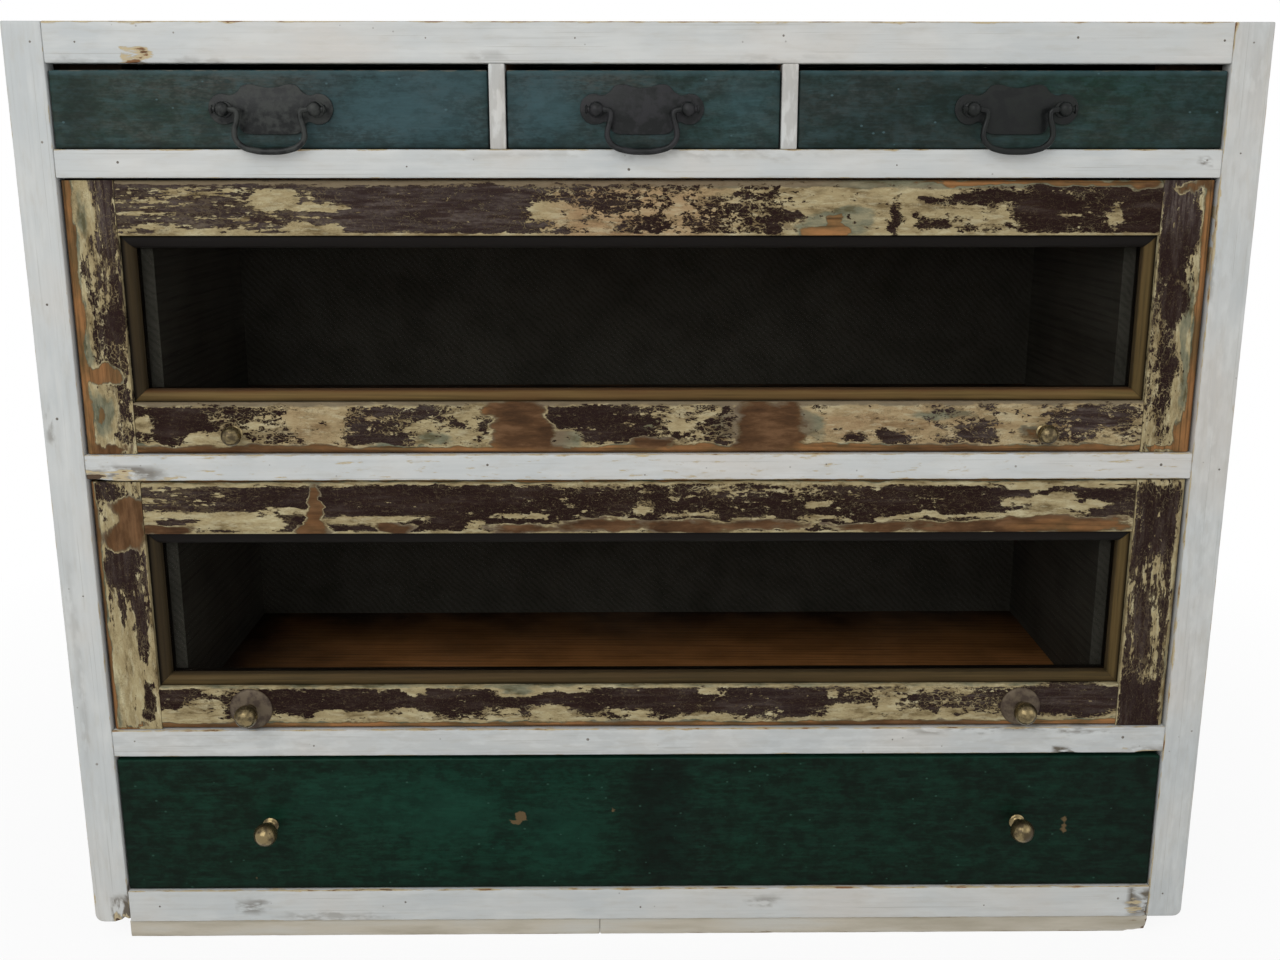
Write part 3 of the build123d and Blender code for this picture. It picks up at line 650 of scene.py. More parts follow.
def turned(bm, centre, points, steps):
    """Turns a profile of (radius, length) points round the axis that comes out of the face at a centre."""
    verts = [bm.verts.new(centre + Vector((radius, -length, 0))) for radius, length in points]
    edges = [bm.edges.new(pair) for pair in zip(verts, verts[1:])]
    bmesh.ops.spin(
        bm, geom=verts + edges, cent=centre, axis=(0, 1, 0), angle=2 * math.pi, steps=steps, use_merge=True
    )


def arc(centre_radius, centre_length, radius, start, end, steps):
    """Points of a round stretch of a profile, its angles in degrees from the axis's side."""
    angles = [math.radians(start + (end - start) * i / steps) for i in range(steps + 1)]
    return [(centre_radius + radius * math.cos(a), centre_length + radius * math.sin(a)) for a in angles]


def curve_mesh(name, points, resolution, closed=False, **settings):
    """The mesh of a smooth curve through (x, y, z, radius) points, ready to work on."""
    curve = bpy.data.curves.new(name, "CURVE")
    for key, value in settings.items():
        setattr(curve, key, value)
    spline = curve.splines.new("BEZIER")
    spline.bezier_points.add(len(points) - 1)
    for point, (*place, radius) in zip(spline.bezier_points, points):
        point.co, point.radius = place, radius
        point.handle_left_type = point.handle_right_type = "AUTO"
    spline.use_cyclic_u = closed
    spline.resolution_u = resolution
    holder = bpy.data.objects.new(name, curve)
    mesh = bpy.data.meshes.new_from_object(holder)
    bm = bmesh.new()
    bm.from_mesh(mesh)
    bpy.data.meshes.remove(mesh)
    bpy.data.objects.remove(holder)
    bpy.data.curves.remove(curve)
    return bm


def drilled_ball(bm, centre, radius, hole):
    """A ball with a true hole through it along X."""
    before = set(bm.verts)
    verts = bmesh.ops.create_uvsphere(bm, u_segments=28, v_segments=18, radius=radius)["verts"]
    bmesh.ops.rotate(bm, cent=(0, 0, 0), matrix=Matrix.Rotation(math.radians(90), 3, "Y"), verts=verts)
    caps = [v for v in verts if math.hypot(v.co.y, v.co.z) < hole * 0.9]
    bmesh.ops.delete(bm, geom=caps, context="VERTS")
    rims = [e for e in bm.edges if e.is_boundary and e.verts[0] not in before]
    for vert in {v for e in rims for v in e.verts}:
        flat = Vector((0, vert.co.y, vert.co.z)).normalized() * hole
        vert.co = Vector((math.copysign(math.sqrt(radius**2 - hole**2), vert.co.x), flat.y, flat.z))
    bmesh.ops.bridge_loops(bm, edges=rims)
    bmesh.ops.translate(bm, vec=centre, verts=[v for v in bm.verts if v not in before])


def add_object(name, data):
    """Shows a mesh, a lamp or a camera in the scene."""
    made = bpy.data.objects.new(name, data)
    bpy.context.scene.collection.objects.link(made)
    return made


def make_piece(name, bm, materials, body, slot, *nodes):
    """Turns a mesh under construction into a finished piece that rides on a body."""
    bmesh.ops.remove_doubles(bm, verts=bm.verts, dist=SAME)
    bmesh.ops.recalc_face_normals(bm, faces=bm.faces)
    for face in bm.faces:
        face.smooth = True
    for edge in bm.edges:
        edge.smooth = len(edge.link_faces) == 2 and edge.calc_face_angle() < SMOOTH_BELOW
    mesh = bpy.data.meshes.new(name)
    bm.to_mesh(mesh)
    bm.free()
    for material in materials:
        mesh.materials.append(material)
    piece = add_object(name, mesh)
    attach(piece, body)
    if nodes:
        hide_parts(*nodes)
    return piece


def dress(node, material):
    """Gives a CAD piece its material."""
    mesh = frame["nodes"][node].data
    mesh.materials.clear()
    mesh.materials.append(material)


def paint_wear(piece, low, high, axis, base=None, profiles=None, edges=(), patches=None, front_only=False):
    """Paints the eight wear amounts on a board, four to an attribute, from its recipe.

    All amounts are in per cent and all lengths in millimetres. For each channel, base holds an amount to
    start from, profiles has (place, amount) stops with the places as shares of the board's length, and
    patches has (along, across, half length, half width, amount), from the board's low end and low side;
    a negative amount takes away. An edge is (channel, side, width, amount, raggedness), where side is
    "low" or "high" across the board. With front_only the worn edges stay close to the front.
    """
    mesh = piece.data
    count = len(mesh.vertices)
    places = np.empty(count * 3)
    mesh.vertices.foreach_get("co", places)
    places = places.reshape(-1, 3)
    length_axis, width_axis = "XYZ".index(axis), 2 if axis == "X" else 0
    length, width = high[length_axis] - low[length_axis], high[width_axis] - low[width_axis]
    run = places[:, length_axis] - low[length_axis]
    rise = places[:, width_axis] - low[width_axis]
    stretch = np.ones(3)
    stretch[length_axis] = 0.45
    # Two noises, so many cells to the metre, bend the outlines of patches and edges by a few millimetres.
    waver, sway = (
        np.array([noise.noise_vector(Vector(p * stretch) * cells) for p in places]) for cells in (75, 210)
    )
    run_bent = run + (9 * waver[:, 0] + 4 * sway[:, 0]) * MM
    rise_bent = rise + (4.5 * waver[:, 1] + 2.5 * sway[:, 1]) * MM
    amounts = np.zeros((count, 8))
    for channel, amount in (base or {}).items():
        amounts[:, channel] = amount / 100
    for channel, stops in (profiles or {}).items():
        shares, values = np.array(stops).T / 100
        amounts[:, channel] = np.interp(run_bent / length, shares, values)
    for channel, side, reach, amount, ragged in edges:
        wide = reach * MM * (1 + ragged / 100 * (waver[:, 2] + 0.5 * sway[:, 2]))
        away = rise if side == "low" else width - rise
        if front_only:
            away = np.maximum(away, places[:, 1] - low.y - 0.5 * MM)
        worn = amount / 100 * np.clip(1.6 - 1.1 * away / wide, 0, 1)
        amounts[:, channel] = np.maximum(amounts[:, channel], worn)
    for channel, spots in (patches or {}).items():
        column = amounts[:, channel]
        steep = 2.4 if channel in (CHIP, FLAKE) else 1.3
        boxy = 2.6  # 2 would make the patches ellipses
        for along, across, half_run, half_rise, amount in spots:
            u = np.abs(run_bent - along * MM) / (half_run * MM)
            v = np.abs(rise_bent - across * MM) / (half_rise * MM)
            share = np.clip(steep * (1.15 - (u**boxy + v**boxy) ** (1 / boxy)), 0, 1)
            if amount < 0:
                column *= 1 + amount / 100 * share
            else:
                column += (amount / 100 - column) * share
    for name, columns in (("wear", amounts[:, :4]), ("tint", amounts[:, 4:])):
        layer = mesh.attributes.new(name, "FLOAT_COLOR", "POINT")
        layer.data.foreach_set("color", columns.astype(np.float32).ravel())


# ---------------------------------------- wear of each board, as paint_wear reads it

# On the sashes and the face frame the fourth channel darkens paint and bare wood: dirt, painted shade over the
# frame's lower rail and right stile, and darker bands along the sashes' outer edges.
CHIP, BARE, BLOCK, DIRT_AND_SHADE, HAZE, UNDER, GLOW = range(7)  # on the sashes
RUST = 2  # on the face frame
# On the green fronts the fifth channel darkens the paint: painted shade along the lower edges, under the rail at the
# bottom drawer's top and over most of the right drawer, and darker patches elsewhere. The sixth lightens it: a
# painted highlight along the top arrises, and pale bloom in patches.
TEAL, GREEN, SCUFF, FLAKE, SHADE, BLOOM_AND_HIGHLIGHT = range(6)  # on the green fronts

SASH_WEAR = {
    "upper_sash_top_rail": {
        "profiles": {
            CHIP: [
                (0, 42), (10, 45), (19, 40), (22, 12), (37, 10), (42, 30), (47, 35), (55, 40), (58, 28), (62, 30),
                (64, 75), (79, 85), (81, 50), (86, 45), (88, 10), (94, 20), (97, 3), (100, 3)],
            BLOCK: [(0, 0), (22, 10), (32, 50), (42, 90), (65, 100), (80, 60), (100, 60)],
            HAZE: [(0, 55), (15, 50), (22, 65), (40, 60), (46, 35), (52, 5), (100, 0)],
            GLOW: [(0, 0), (40, 10), (44, 80), (55, 70), (60, 10), (100, 0)],
        },
        "edges": [
            (CHIP, "low", 2.6, 110, 60), (CHIP, "high", 5, 95, 60), (DIRT_AND_SHADE, "high", 7, 130, 30),
            (UNDER, "high", 7, 130, 40)],
        "patches": {
            CHIP: [
                (152, 35, 24, 11, 100), (196, 27, 26, 5, 90), (188, 6, 30, 5, 100), (60, 6, 60, 3, 95),
                (420, 22, 22, 10, 80), (462, 14, 26, 13, 70), (592, 45, 22, 6, 95), (548, 24, 7, 12, 90),
                (680, 26, 40, 20, 95), (653, 20, 16, 8, 0), (640, 7, 9, 7, 0), (735, 30, 14, 20, 100),
                (756, 15, 6, 17, 0), (770, 32, 9, 15, 95), (793, 32, 17, 3.5, 10), (792, 10, 18, 7, 20),
                (848, 36, 38, 6, 5), (848, 20, 32, 8, 85), (905, 24, 34, 16, 3), (930, 20, 14, 3, 70),
                (974, 20, 7, 13, 90)],
            UNDER: [(696, 10, 42, 16, 90), (718, 18, 24, 12, 90)],
            BARE: [(690, 4, 26, 7, 130), (702, 10, 10, 12, 130), (880, 51, 140, 4, 110), (1000, 49, 24, 6, 120)],
            DIRT_AND_SHADE: [(880, 51, 190, 6, 10)],
        },
    },
    "upper_sash_bottom_rail": {
        "profiles": {
            CHIP: [
                (0, 30), (2, 5), (8, 8), (9, 50), (15, 50), (17, 85), (20, 85), (21, 30), (30, 35), (33, 60),
                (40, 70), (42, 10), (50, 12), (52, 45), (58, 45), (64, 70), (70, 90), (78, 75), (80, 55), (84, 75),
                (90, 55), (95, 25), (98.5, 30), (100, 60)],
            BLOCK: [(0, 60), (10, 80), (100, 90)],
            HAZE: [
                (0, 0), (20, 10), (22, 35), (28, 30), (32, 10), (75, 10), (79, 70), (84, 50), (95, 50), (100, 30)],
            GLOW: [(0, 0), (13, 10), (16, 40), (22, 30), (26, 0), (70, 20), (78, 50), (90, 35), (100, 20)],
        },
        "edges": [
            (BARE, "low", 8, 110, 50), (CHIP, "low", 10, 100, 40), (CHIP, "high", 4, 100, 50),
            (UNDER, "high", 4, 80, 50), (DIRT_AND_SHADE, "high", 5, 90, 30), (DIRT_AND_SHADE, "low", 2, 90, 20)],
        "patches": {
            CHIP: [
                (8, 30, 8, 10, 100), (40, 26, 22, 20, 3), (78, 12, 38, 10, 85), (96, 40, 34, 7, 25),
                (182, 30, 26, 16, 100), (240, 44, 20, 6, 10), (236, 16, 30, 5, 5), (300, 20, 30, 14, 85),
                (432, 16, 20, 12, 100), (446, 40, 36, 9, 0), (478, 24, 14, 14, 3), (556, 34, 20, 16, 70),
                (726, 18, 12, 9, 10), (768, 17, 20, 8, 5), (740, 34, 50, 12, 95), (850, 22, 22, 13, 15),
                (905, 30, 18, 16, 95), (965, 34, 34, 10, 10), (976, 14, 26, 9, 80)],
            DIRT_AND_SHADE: [
                (100, 2, 100, 12, 80), (200, 2, 50, 10, 60), (392, 28, 50, 26, 125), (524, 14, 30, 10, 120),
                (634, 28, 46, 30, 125), (915, 20, 30, 12, 50), (820, 2, 60, 10, 70), (960, 2, 50, 8, 50),
                (560, 2, 46, 7, 20)],
            UNDER: [
                (300, 14, 30, 12, 70), (432, 14, 24, 12, 100), (516, 28, 12, 8, 70), (600, 30, 22, 20, 90),
                (672, 30, 26, 18, 100), (820, 40, 50, 8, 80)],
            BARE: [
                (382, 24, 24, 34, 125), (404, 24, 20, 30, 120), (366, 44, 30, 10, 110), (524, 12, 26, 8, 95),
                (626, 24, 28, 34, 130), (660, 26, 18, 34, 110), (700, 8, 26, 6, 75), (915, 20, 26, 9, 72)],
            GLOW: [(720, 30, 60, 20, 60)],
            HAZE: [(966, 20, 20, 14, 90)],
        },
    },
    "lower_sash_top_rail": {
        "profiles": {
            CHIP: [
                (0, 45), (8, 42), (10, 12), (16, 6), (20, 5), (28, 8), (34, 3), (42, 12), (60, 14), (78, 14),
                (86, 12), (95, 12), (100, 20)],
            BLOCK: [(0, 0), (10, 10), (20, 30), (40, 90), (70, 90), (85, 50), (100, 40)],
            HAZE: [(0, 40), (12, 10), (20, 10), (40, 0), (84, 0), (86, 25), (92, 10), (100, 20)],
        },
        "edges": [
            (CHIP, "high", 5, 105, 70), (UNDER, "high", 2.6, 55, 80), (CHIP, "low", 2.4, 100, 80),
            (BARE, "high", 1.6, 75, 90), (DIRT_AND_SHADE, "low", 30, 110, 20)],
        "patches": {
            CHIP: [
                (70, 14, 76, 10, 90), (110, 11, 34, 7, 100), (148, 24, 30, 4, 90), (36, 14, 20, 3, 10),
                (225, 14, 44, 5, 100), (268, 16, 26, 3, 90), (385, 18, 30, 2.2, 90), (340, 8, 12, 6, 90),
                (556, 19, 34, 2.4, 90), (628, 16, 26, 2.2, 90), (500, 12, 12, 6, 90), (512, 28, 9, 7, 80),
                (600, 46, 36, 4, 50), (690, 30, 12, 3, 90), (700, 16, 30, 3, 80), (770, 16, 26, 3, 100),
                (668, 44, 30, 3, 40), (810, 18, 40, 3, 100), (905, 20, 60, 4, 100), (930, 33, 26, 10, 95),
                (896, 34, 16, 5, 70), (965, 28, 30, 5, 95), (990, 40, 22, 8, 5), (880, 44, 60, 3, 10),
                (940, 48, 80, 2.5, 95)],
            BARE: [
                (20, 5, 30, 7, 120), (174, 4, 22, 8, 130), (175, 20, 11, 16, 130), (176, 38, 7, 20, 110),
                (256, 7, 26, 6, 105), (390, 5, 50, 6, 90), (470, 10, 50, 10, 110), (560, 7, 60, 9, 110),
                (640, 8, 60, 8, 90), (760, 6, 60, 7, 100), (850, 6, 60, 7, 110), (940, 9, 90, 11, 130)],
            DIRT_AND_SHADE: [(176, 24, 30, 34, 75), (960, 6, 80, 8, 35)],
            UNDER: [(176, 46, 13, 14, 90)],
        },
    },
    "lower_sash_bottom_rail": {
        "profiles": {
            CHIP: [
                (0, 8), (5, 12), (8, 20), (12, 5), (30, 4), (36, 12), (42, 3), (50, 10), (55, 10), (62, 8), (66, 6),
                (70, 16), (78, 30), (85, 30), (90, 14), (97, 6), (100, 10)],
            BLOCK: [(0, 70), (40, 80), (55, 100), (100, 80)],
            HAZE: [(0, 0), (58, 10), (64, 40), (68, 10), (88, 30), (100, 30)],
        },
        "edges": [
            (CHIP, "low", 13, 110, 35), (BARE, "low", 7, 110, 35), (CHIP, "high", 2.4, 105, 80),
            (UNDER, "high", 2, 50, 80), (DIRT_AND_SHADE, "low", 1.6, 100, 20)],
        "patches": {
            CHIP: [
                (30, 14, 40, 10, 100), (44, 26, 18, 9, 75), (78, 40, 30, 4, 50), (190, 16, 30, 4, 90),
                (250, 14, 46, 8, 90), (270, 44, 14, 5, 100), (385, 42, 26, 6, 100), (430, 44, 30, 3, 90),
                (418, 18, 30, 8, 95), (360, 16, 22, 6, 70), (500, 17, 24, 5, 90), (580, 44, 14, 4, 90),
                (640, 34, 70, 9, -80), (735, 19, 22, 10, 100), (775, 24, 12, 14, 100), (760, 14, 50, 5, 100),
                (800, 42, 60, 4, 60), (830, 16, 30, 4, 80), (712, 40, 8, 6, 80), (970, 30, 44, 20, 2)],
            UNDER: [(385, 43, 26, 5, 80)],
            DIRT_AND_SHADE: [(500, 4, 60, 6, 60), (800, 6, 90, 8, 80), (60, 3, 60, 7, 60)],
        },
    },
    "upper_sash_left_stile": {
        "profiles": {
            CHIP: [
                (0, 60), (24, 60), (34, 25), (50, 35), (60, 55), (68, 45), (72, 55), (85, 60), (93, 40), (100, 30)],
            BLOCK: [(0, 60), (50, 70), (68, 20), (100, 30)],
            HAZE: [(0, 30), (50, 10), (80, 30), (100, 60)],
        },
        "edges": [
            (BARE, "low", 11.5, 125, 25), (CHIP, "low", 21, 100, 40), (DIRT_AND_SHADE, "low", 2.2, 100, 20),
            (CHIP, "high", 1.4, 60, 90)],
        "patches": {
            UNDER: [(240, 18, 24, 9, 75), (110, 13, 24, 5, 80), (40, 20, 32, 12, 100)],
            CHIP: [
                (240, 20, 28, 12, 100), (225, 42, 34, 9, 15), (130, 40, 22, 12, 5), (118, 24, 14, 8, 20),
                (118, 14, 26, 5, 95), (40, 20, 34, 14, 100), (46, 42, 40, 8, 40)],
            HAZE: [(235, 38, 34, 14, 80)],
            BARE: [(82, 26, 11, 22, 130), (38, 20, 18, 5, 72), (4, 20, 7, 30, 110)],
            DIRT_AND_SHADE: [(82, 30, 12, 20, 35), (5, 30, 8, 24, 90)],
        },
    },
    "upper_sash_right_stile": {
        "profiles": {
            CHIP: [(0, 60), (10, 60), (25, 55), (40, 50), (50, 40), (62, 35), (70, 15), (80, 3), (100, 10)],
            BLOCK: [(0, 80), (40, 70), (60, 30), (80, 60), (100, 60)],
            HAZE: [(0, 20), (30, 10), (60, 10), (80, 20), (90, 90), (100, 90)],
        },
        "edges": [
            (BARE, "high", 10, 130, 20), (CHIP, "high", 17, 100, 30), (DIRT_AND_SHADE, "high", 2.4, 100, 20),
            (CHIP, "low", 1.6, 70, 90)],
        "patches": {
            CHIP: [
                (100, 34, 90, 8, 95), (150, 22, 22, 13, 3), (195, 24, 22, 16, 5), (180, 36, 24, 6, 80),
                (80, 20, 40, 9, 15), (40, 22, 30, 9, 30), (226, 26, 26, 15, 2), (60, 34, 40, 7, 95)],
            UNDER: [(120, 36, 70, 6, 90), (50, 36, 30, 6, 70)],
            BARE: [(14, 40, 26, 12, 130), (3, 26, 5, 26, 110), (264, 30, 6, 24, 90)],
            DIRT_AND_SHADE: [(264, 24, 8, 26, 70)],
        },
    },
    "lower_sash_left_stile": {
        "profiles": {
            CHIP: [(0, 90), (12, 95), (40, 95), (52, 75), (60, 30), (72, 10), (78, 15), (100, 50)],
            BLOCK: [(0, 30), (50, 10), (70, 30), (100, 70)],
            HAZE: [(0, 0), (60, 20), (100, 30)],
        },
        "edges": [
            (BARE, "low", 6, 110, 40), (CHIP, "low", 13, 100, 40), (DIRT_AND_SHADE, "low", 3, 100, 20),
            (CHIP, "high", 1.8, 80, 80)],
        "patches": {
            BARE: [(214, 32, 18, 26, 130), (238, 40, 14, 14, 120), (246, 36, 14, 22, 115), (2, 20, 4, 24, 90)],
            CHIP: [
                (260, 14, 16, 20, 15), (236, 16, 20, 12, 70), (178, 26, 20, 20, 3), (176, 45, 22, 5, 50),
                (120, 40, 34, 8, 12), (132, 22, 20, 3, 20), (88, 42, 16, 6, 25), (34, 42, 18, 6, 5),
                (60, 16, 50, 16, 100), (12, 38, 6, 8, 10)],
            DIRT_AND_SHADE: [(222, 34, 44, 30, 85)],
            UNDER: [(30, 8, 40, 5, 60)],
        },
    },
    "lower_sash_right_stile": {
        "profiles": {
            CHIP: [(0, 5), (18, 6), (24, 34), (40, 30), (60, 40), (68, 25), (74, 6), (90, 10), (96, 20), (100, 40)],
            BLOCK: [(0, 60), (20, 50), (30, 5), (68, 5), (76, 80), (100, 80)],
            HAZE: [(0, 20), (30, 25), (100, 10)],
        },
        "edges": [
            (CHIP, "low", 2, 90, 60), (CHIP, "high", 7, 95, 50), (DIRT_AND_SHADE, "high", 3, 100, 30),
            (BARE, "high", 2.5, 80, 50)],
        "patches": {
            CHIP: [
                (100, 32, 40, 5, 60), (62, 28, 14, 9, 50), (268, 26, 3, 26, 80), (24, 18, 22, 12, 2),
                (160, 30, 24, 5, 60)],
            UNDER: [(120, 48, 110, 5, 60)],
        },
    },
}

FRAME_WEAR = {
    "top_rail": {
        "edges": [(CHIP, "high", 1.6, 100, 80), (CHIP, "low", 0.8, 55, 60)],
        "patches": {
            BARE: [(84, 1, 12, 4, 130)],
            CHIP: [(86, 6, 16, 9, 100)],
            RUST: [(90, 9, 12, 3, 50)],
            DIRT_AND_SHADE: [(140, 3, 26, 3, 35), (420, 5, 24, 4, 25), (30, 3, 24, 4, 25), (700, 3, 60, 3, 15)],
        },
    },
    "upper_rail": {
        "edges": [(CHIP, "high", 1.3, 85, 70), (CHIP, "low", 0.9, 70, 60)],
        "patches": {
            DIRT_AND_SHADE: [(1108, 16, 6, 5, 80), (560, 22, 200, 3, 20)],
        },
    },
    "middle_rail": {
        "base": {CHIP: 50},
        "edges": [(CHIP, "high", 1.3, 90, 70), (CHIP, "low", 1.3, 95, 70)],
        "patches": {
            BARE: [(8, 3, 12, 5, 120)],
            CHIP: [(20, 6, 30, 7, 90), (60, 2, 40, 2, 80)],
            RUST: [(10, 3, 30, 8, 110)],
            DIRT_AND_SHADE: [(40, 8, 40, 8, 80)],
        },
    },
    "lower_rail": {
        # Painted shade: the whole lower rail a little darker.
        "base": {DIRT_AND_SHADE: 9},
        "edges": [(CHIP, "high", 1.4, 95, 70), (CHIP, "low", 1.2, 80, 70)],
        "patches": {
            DIRT_AND_SHADE: [(1018, 2, 14, 5, 180), (1110, 4, 30, 4, 50), (960, 27, 120, 3, 60)],
            CHIP: [(1100, 2, 30, 3, 80)],
        },
    },
    "bottom_rail": {
        "edges": [(CHIP, "high", 1.4, 95, 60), (CHIP, "low", 1.2, 85, 70)],
        "patches": {
            DIRT_AND_SHADE: [
                (135, 19, 15, 9, 62), (697, 21, 13, 8, 50), (1108, 19, 5, 18, 100), (225, 5, 60, 5, 40),
                (1122, 18, 4, 18, 120), (1112, 8, 8, 8, 80)],
            CHIP: [(1110, 12, 12, 12, 80)],
            BARE: [(1122, 4, 4, 5, 100)],
        },
    },
    "left_stile": {
        "edges": [(CHIP, "low", 1.2, 75, 90), (CHIP, "high", 1, 70, 90)],
        "patches": {
            BARE: [(3, 30, 5, 9, 140)],
            CHIP: [(5, 28, 10, 12, 90)],
            RUST: [(3, 30, 12, 14, 140)],
            DIRT_AND_SHADE: [(10, 30, 22, 10, 110), (24, 38, 24, 2, 90), (560, 8, 24, 4, 50), (300, 10, 120, 4, 20)],
        },
    },
    "right_stile": {
        # Painted shade: the whole right stile a little darker.
        "base": {DIRT_AND_SHADE: 7},
        "edges": [(CHIP, "low", 1.3, 90, 80), (CHIP, "high", 1.2, 75, 90)],
        "patches": {
            DIRT_AND_SHADE: [(706, 3, 26, 3, 50), (480, 18, 200, 4, 12), (900, 22, 30, 8, 15)],
            CHIP: [(745, 1, 50, 1.6, 90)],
        },
    },
}

TOP_DRAWER_WEAR = {
    "left": {
        "profiles": {
            TEAL: [(0, 0), (30, 10), (50, 30), (62, 75), (80, 100), (92, 90), (100, 50)],
            GREEN: [(0, 70), (25, 60), (45, 30), (60, 0), (100, 0)],
            SCUFF: [(0, 20), (20, 35), (35, 50), (50, 35), (60, 15), (100, 10)],
        },
        "patches": {
            SCUFF: [(150, 58, 120, 18, 90), (180, 36, 60, 20, 50), (60, 30, 40, 16, 60)],
            BLOOM_AND_HIGHLIGHT: [(330, 36, 70, 26, 60), (380, 60, 60, 14, 50)],
            SHADE: [(20, 40, 30, 60, 50)],
        },
    },
    "middle": {
        "profiles": {
            TEAL: [(0, 70), (10, 95), (25, 70), (45, 30), (70, 30), (85, 60), (100, 50)],
            GREEN: [(0, 0), (50, 10), (80, 35), (100, 30)],
            SCUFF: [(0, 15), (30, 35), (50, 35), (80, 10), (100, 10)],
        },
        "patches": {
            SCUFF: [(96, 64, 50, 12, 90)],
            BLOOM_AND_HIGHLIGHT: [(36, 40, 34, 26, 70), (226, 44, 30, 22, 40)],
        },
    },
    "right": {
        "profiles": {
            TEAL: [(0, 20), (20, 10), (50, 0), (80, 10), (100, 15)],
            GREEN: [(0, 10), (40, 20), (62, 80), (80, 60), (100, 40)],
            SCUFF: [(0, 25), (30, 20), (50, 20), (100, 5)],
            # Painted shade over the whole right drawer.
            SHADE: [(0, 15), (30, 20), (60, 20), (100, 25)],
        },
        "patches": {
            GREEN: [(300, 38, 60, 30, 90)],
            TEAL: [(370, 48, 26, 18, 50)],
            SCUFF: [(130, 56, 90, 16, 40)],
            # More painted shade over most of the right front.
            SHADE: [(130, 30, 130, 60, 45), (330, 20, 90, 30, 40)],
        },
    },
}

BOTTOM_DRAWER_WEAR = {
    "profiles": {
        TEAL: [(0, 5), (10, 15), (20, 40), (30, 75), (45, 65), (51, 5), (58, 20), (80, 10), (100, 5)],
        GREEN: [(0, 30), (20, 40), (50, 30), (53, 0), (60, 35), (100, 15)],
        SCUFF: [(0, 15), (30, 5), (48, 10), (51.5, 35), (56, 10), (90, 10), (100, 30)],
        SHADE: [(0, 35), (5, 15), (20, 5), (47, 10), (50.5, 85), (53, 80), (55.5, 20), (90, 30), (100, 60)],
    },
    "patches": {
        FLAKE: [
            (429, 83, 7, 8, 120), (534, 92, 5, 4, 70), (1023, 72, 6, 10, 95), (139, 14, 4, 4, 80),
            (80, 30, 3, 5, 55)],
        # The full-length bands at the top and the bottom are painted shade; the patches near the middle are darker
        # paint.
        SHADE: [
            (382, 24, 34, 6, 90), (360, 80, 24, 8, 60), (460, 78, 28, 10, 60), (560, 10, 560, 8, 50),
            (560, 148, 560, 8, 40)],
        BLOOM_AND_HIGHLIGHT: [(350, 90, 60, 40, 50), (480, 60, 50, 50, 35), (250, 100, 90, 40, 25)],
        SCUFF: [(620, 60, 60, 40, 30)],
    },
}

# On the beads the first channel takes the stain towards near black and the second towards red-brown; the head bead's
# full darkening and most of the left bead's are painted shade.
BEAD_WEAR = {
    "head": {
        "base": {CHIP: 100},
    },
    "upper_sill": {
        "profiles": {
            CHIP: [(0, 30), (10, 0), (100, 10)],
            BARE: [(0, 10), (30, 30), (40, 60), (70, 40), (100, 10)],
        },
        "edges": [(BARE, "high", 3, 100, 30), (CHIP, "high", 1.4, 60, 30), (CHIP, "low", 1.2, 80, 30)],
    },
    "lower_sill": {
        "profiles": {
            CHIP: [(0, 50), (10, 55), (60, 65), (100, 55)],
            BARE: [(0, 0), (30, 20), (100, 10)],
        },
        "edges": [(CHIP, "high", 2, 80, 30), (CHIP, "low", 1.4, 90, 30)],
    },
    "left": {
        "base": {CHIP: 82},
        "edges": [(CHIP, "low", 2, 100, 20)],
    },
    "right": {
        "base": {CHIP: 40},
        "edges": [(CHIP, "high", 3, 90, 20), (CHIP, "low", 1.5, 80, 30)],
    },
}

# Nail heads in the face frame: on each board, places as shares of its length and width.
NAILS = {
    "top_rail": [(0.027, 0.5), (0.11, 0.72), (0.445, 0.6), (0.32, 0.6), (0.62, 0.66), (0.868, 0.62), (0.992, 0.55)],
    "upper_rail": [(0.054, 0.55), (0.3, 0.4), (0.49, 0.3), (0.72, 0.45), (0.987, 0.62)],
    "middle_rail": [(0.05, 0.6), (0.362, 0.6), (0.504, 0.2), (0.668, 0.6), (0.84, 0.5), (0.972, 0.55)],
    "lower_rail": [(0.021, 0.6), (0.19, 0.4), (0.45, 0.6), (0.74, 0.55), (0.96, 0.6)],
    "bottom_rail": [(0.03, 0.5), (0.27, 0.6), (0.5, 0.4), (0.838, 0.4), (0.97, 0.6)],
    "left_stile": [(0.883, 0.75), (0.719, 0.45), (0.598, 0.4), (0.4, 0.6), (0.2, 0.5), (0.98, 0.7)],
    "right_stile": [(0.98, 0.5), (0.872, 0.45), (0.548, 0.3), (0.54, 0.75), (0.228, 0.4), (0.235, 0.75), (0.03, 0.4)],
}

# Knocks in the face frame: on each board, the place as NAILS has it, three half-sizes and a push, in millimetres.
KNOCKS = {
    "top_rail": [(0.078, 0, (9, 9, 8), (0, 2.2, 1.5))],
    "middle_rail": [(0, 0, (30, 9, 8), (0, 2.5, 2))],
    "lower_rail": [(0.907, 0, (9, 9, 5), (0, 3.5, 0)), (0.99, 0, (20, 9, 4), (0, 1.5, 1.5))],
    "bottom_rail": [(1, 0, (7, 9, 20), (-1.5, 2, 0))],
    "left_stile": [(0, 0.85, (9, 12, 9), (-2, 3, 4))],
}


# ---------------------------------------- pieces


def share_point(node, u, v):
    """A point on the front of a board, as shares of its length and width."""
    low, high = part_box(node)
    across, up = (v, u) if "stile" in node else (u, v)
    return Vector((low.x + across * (high.x - low.x), low.y, low.z + up * (high.z - low.z)))


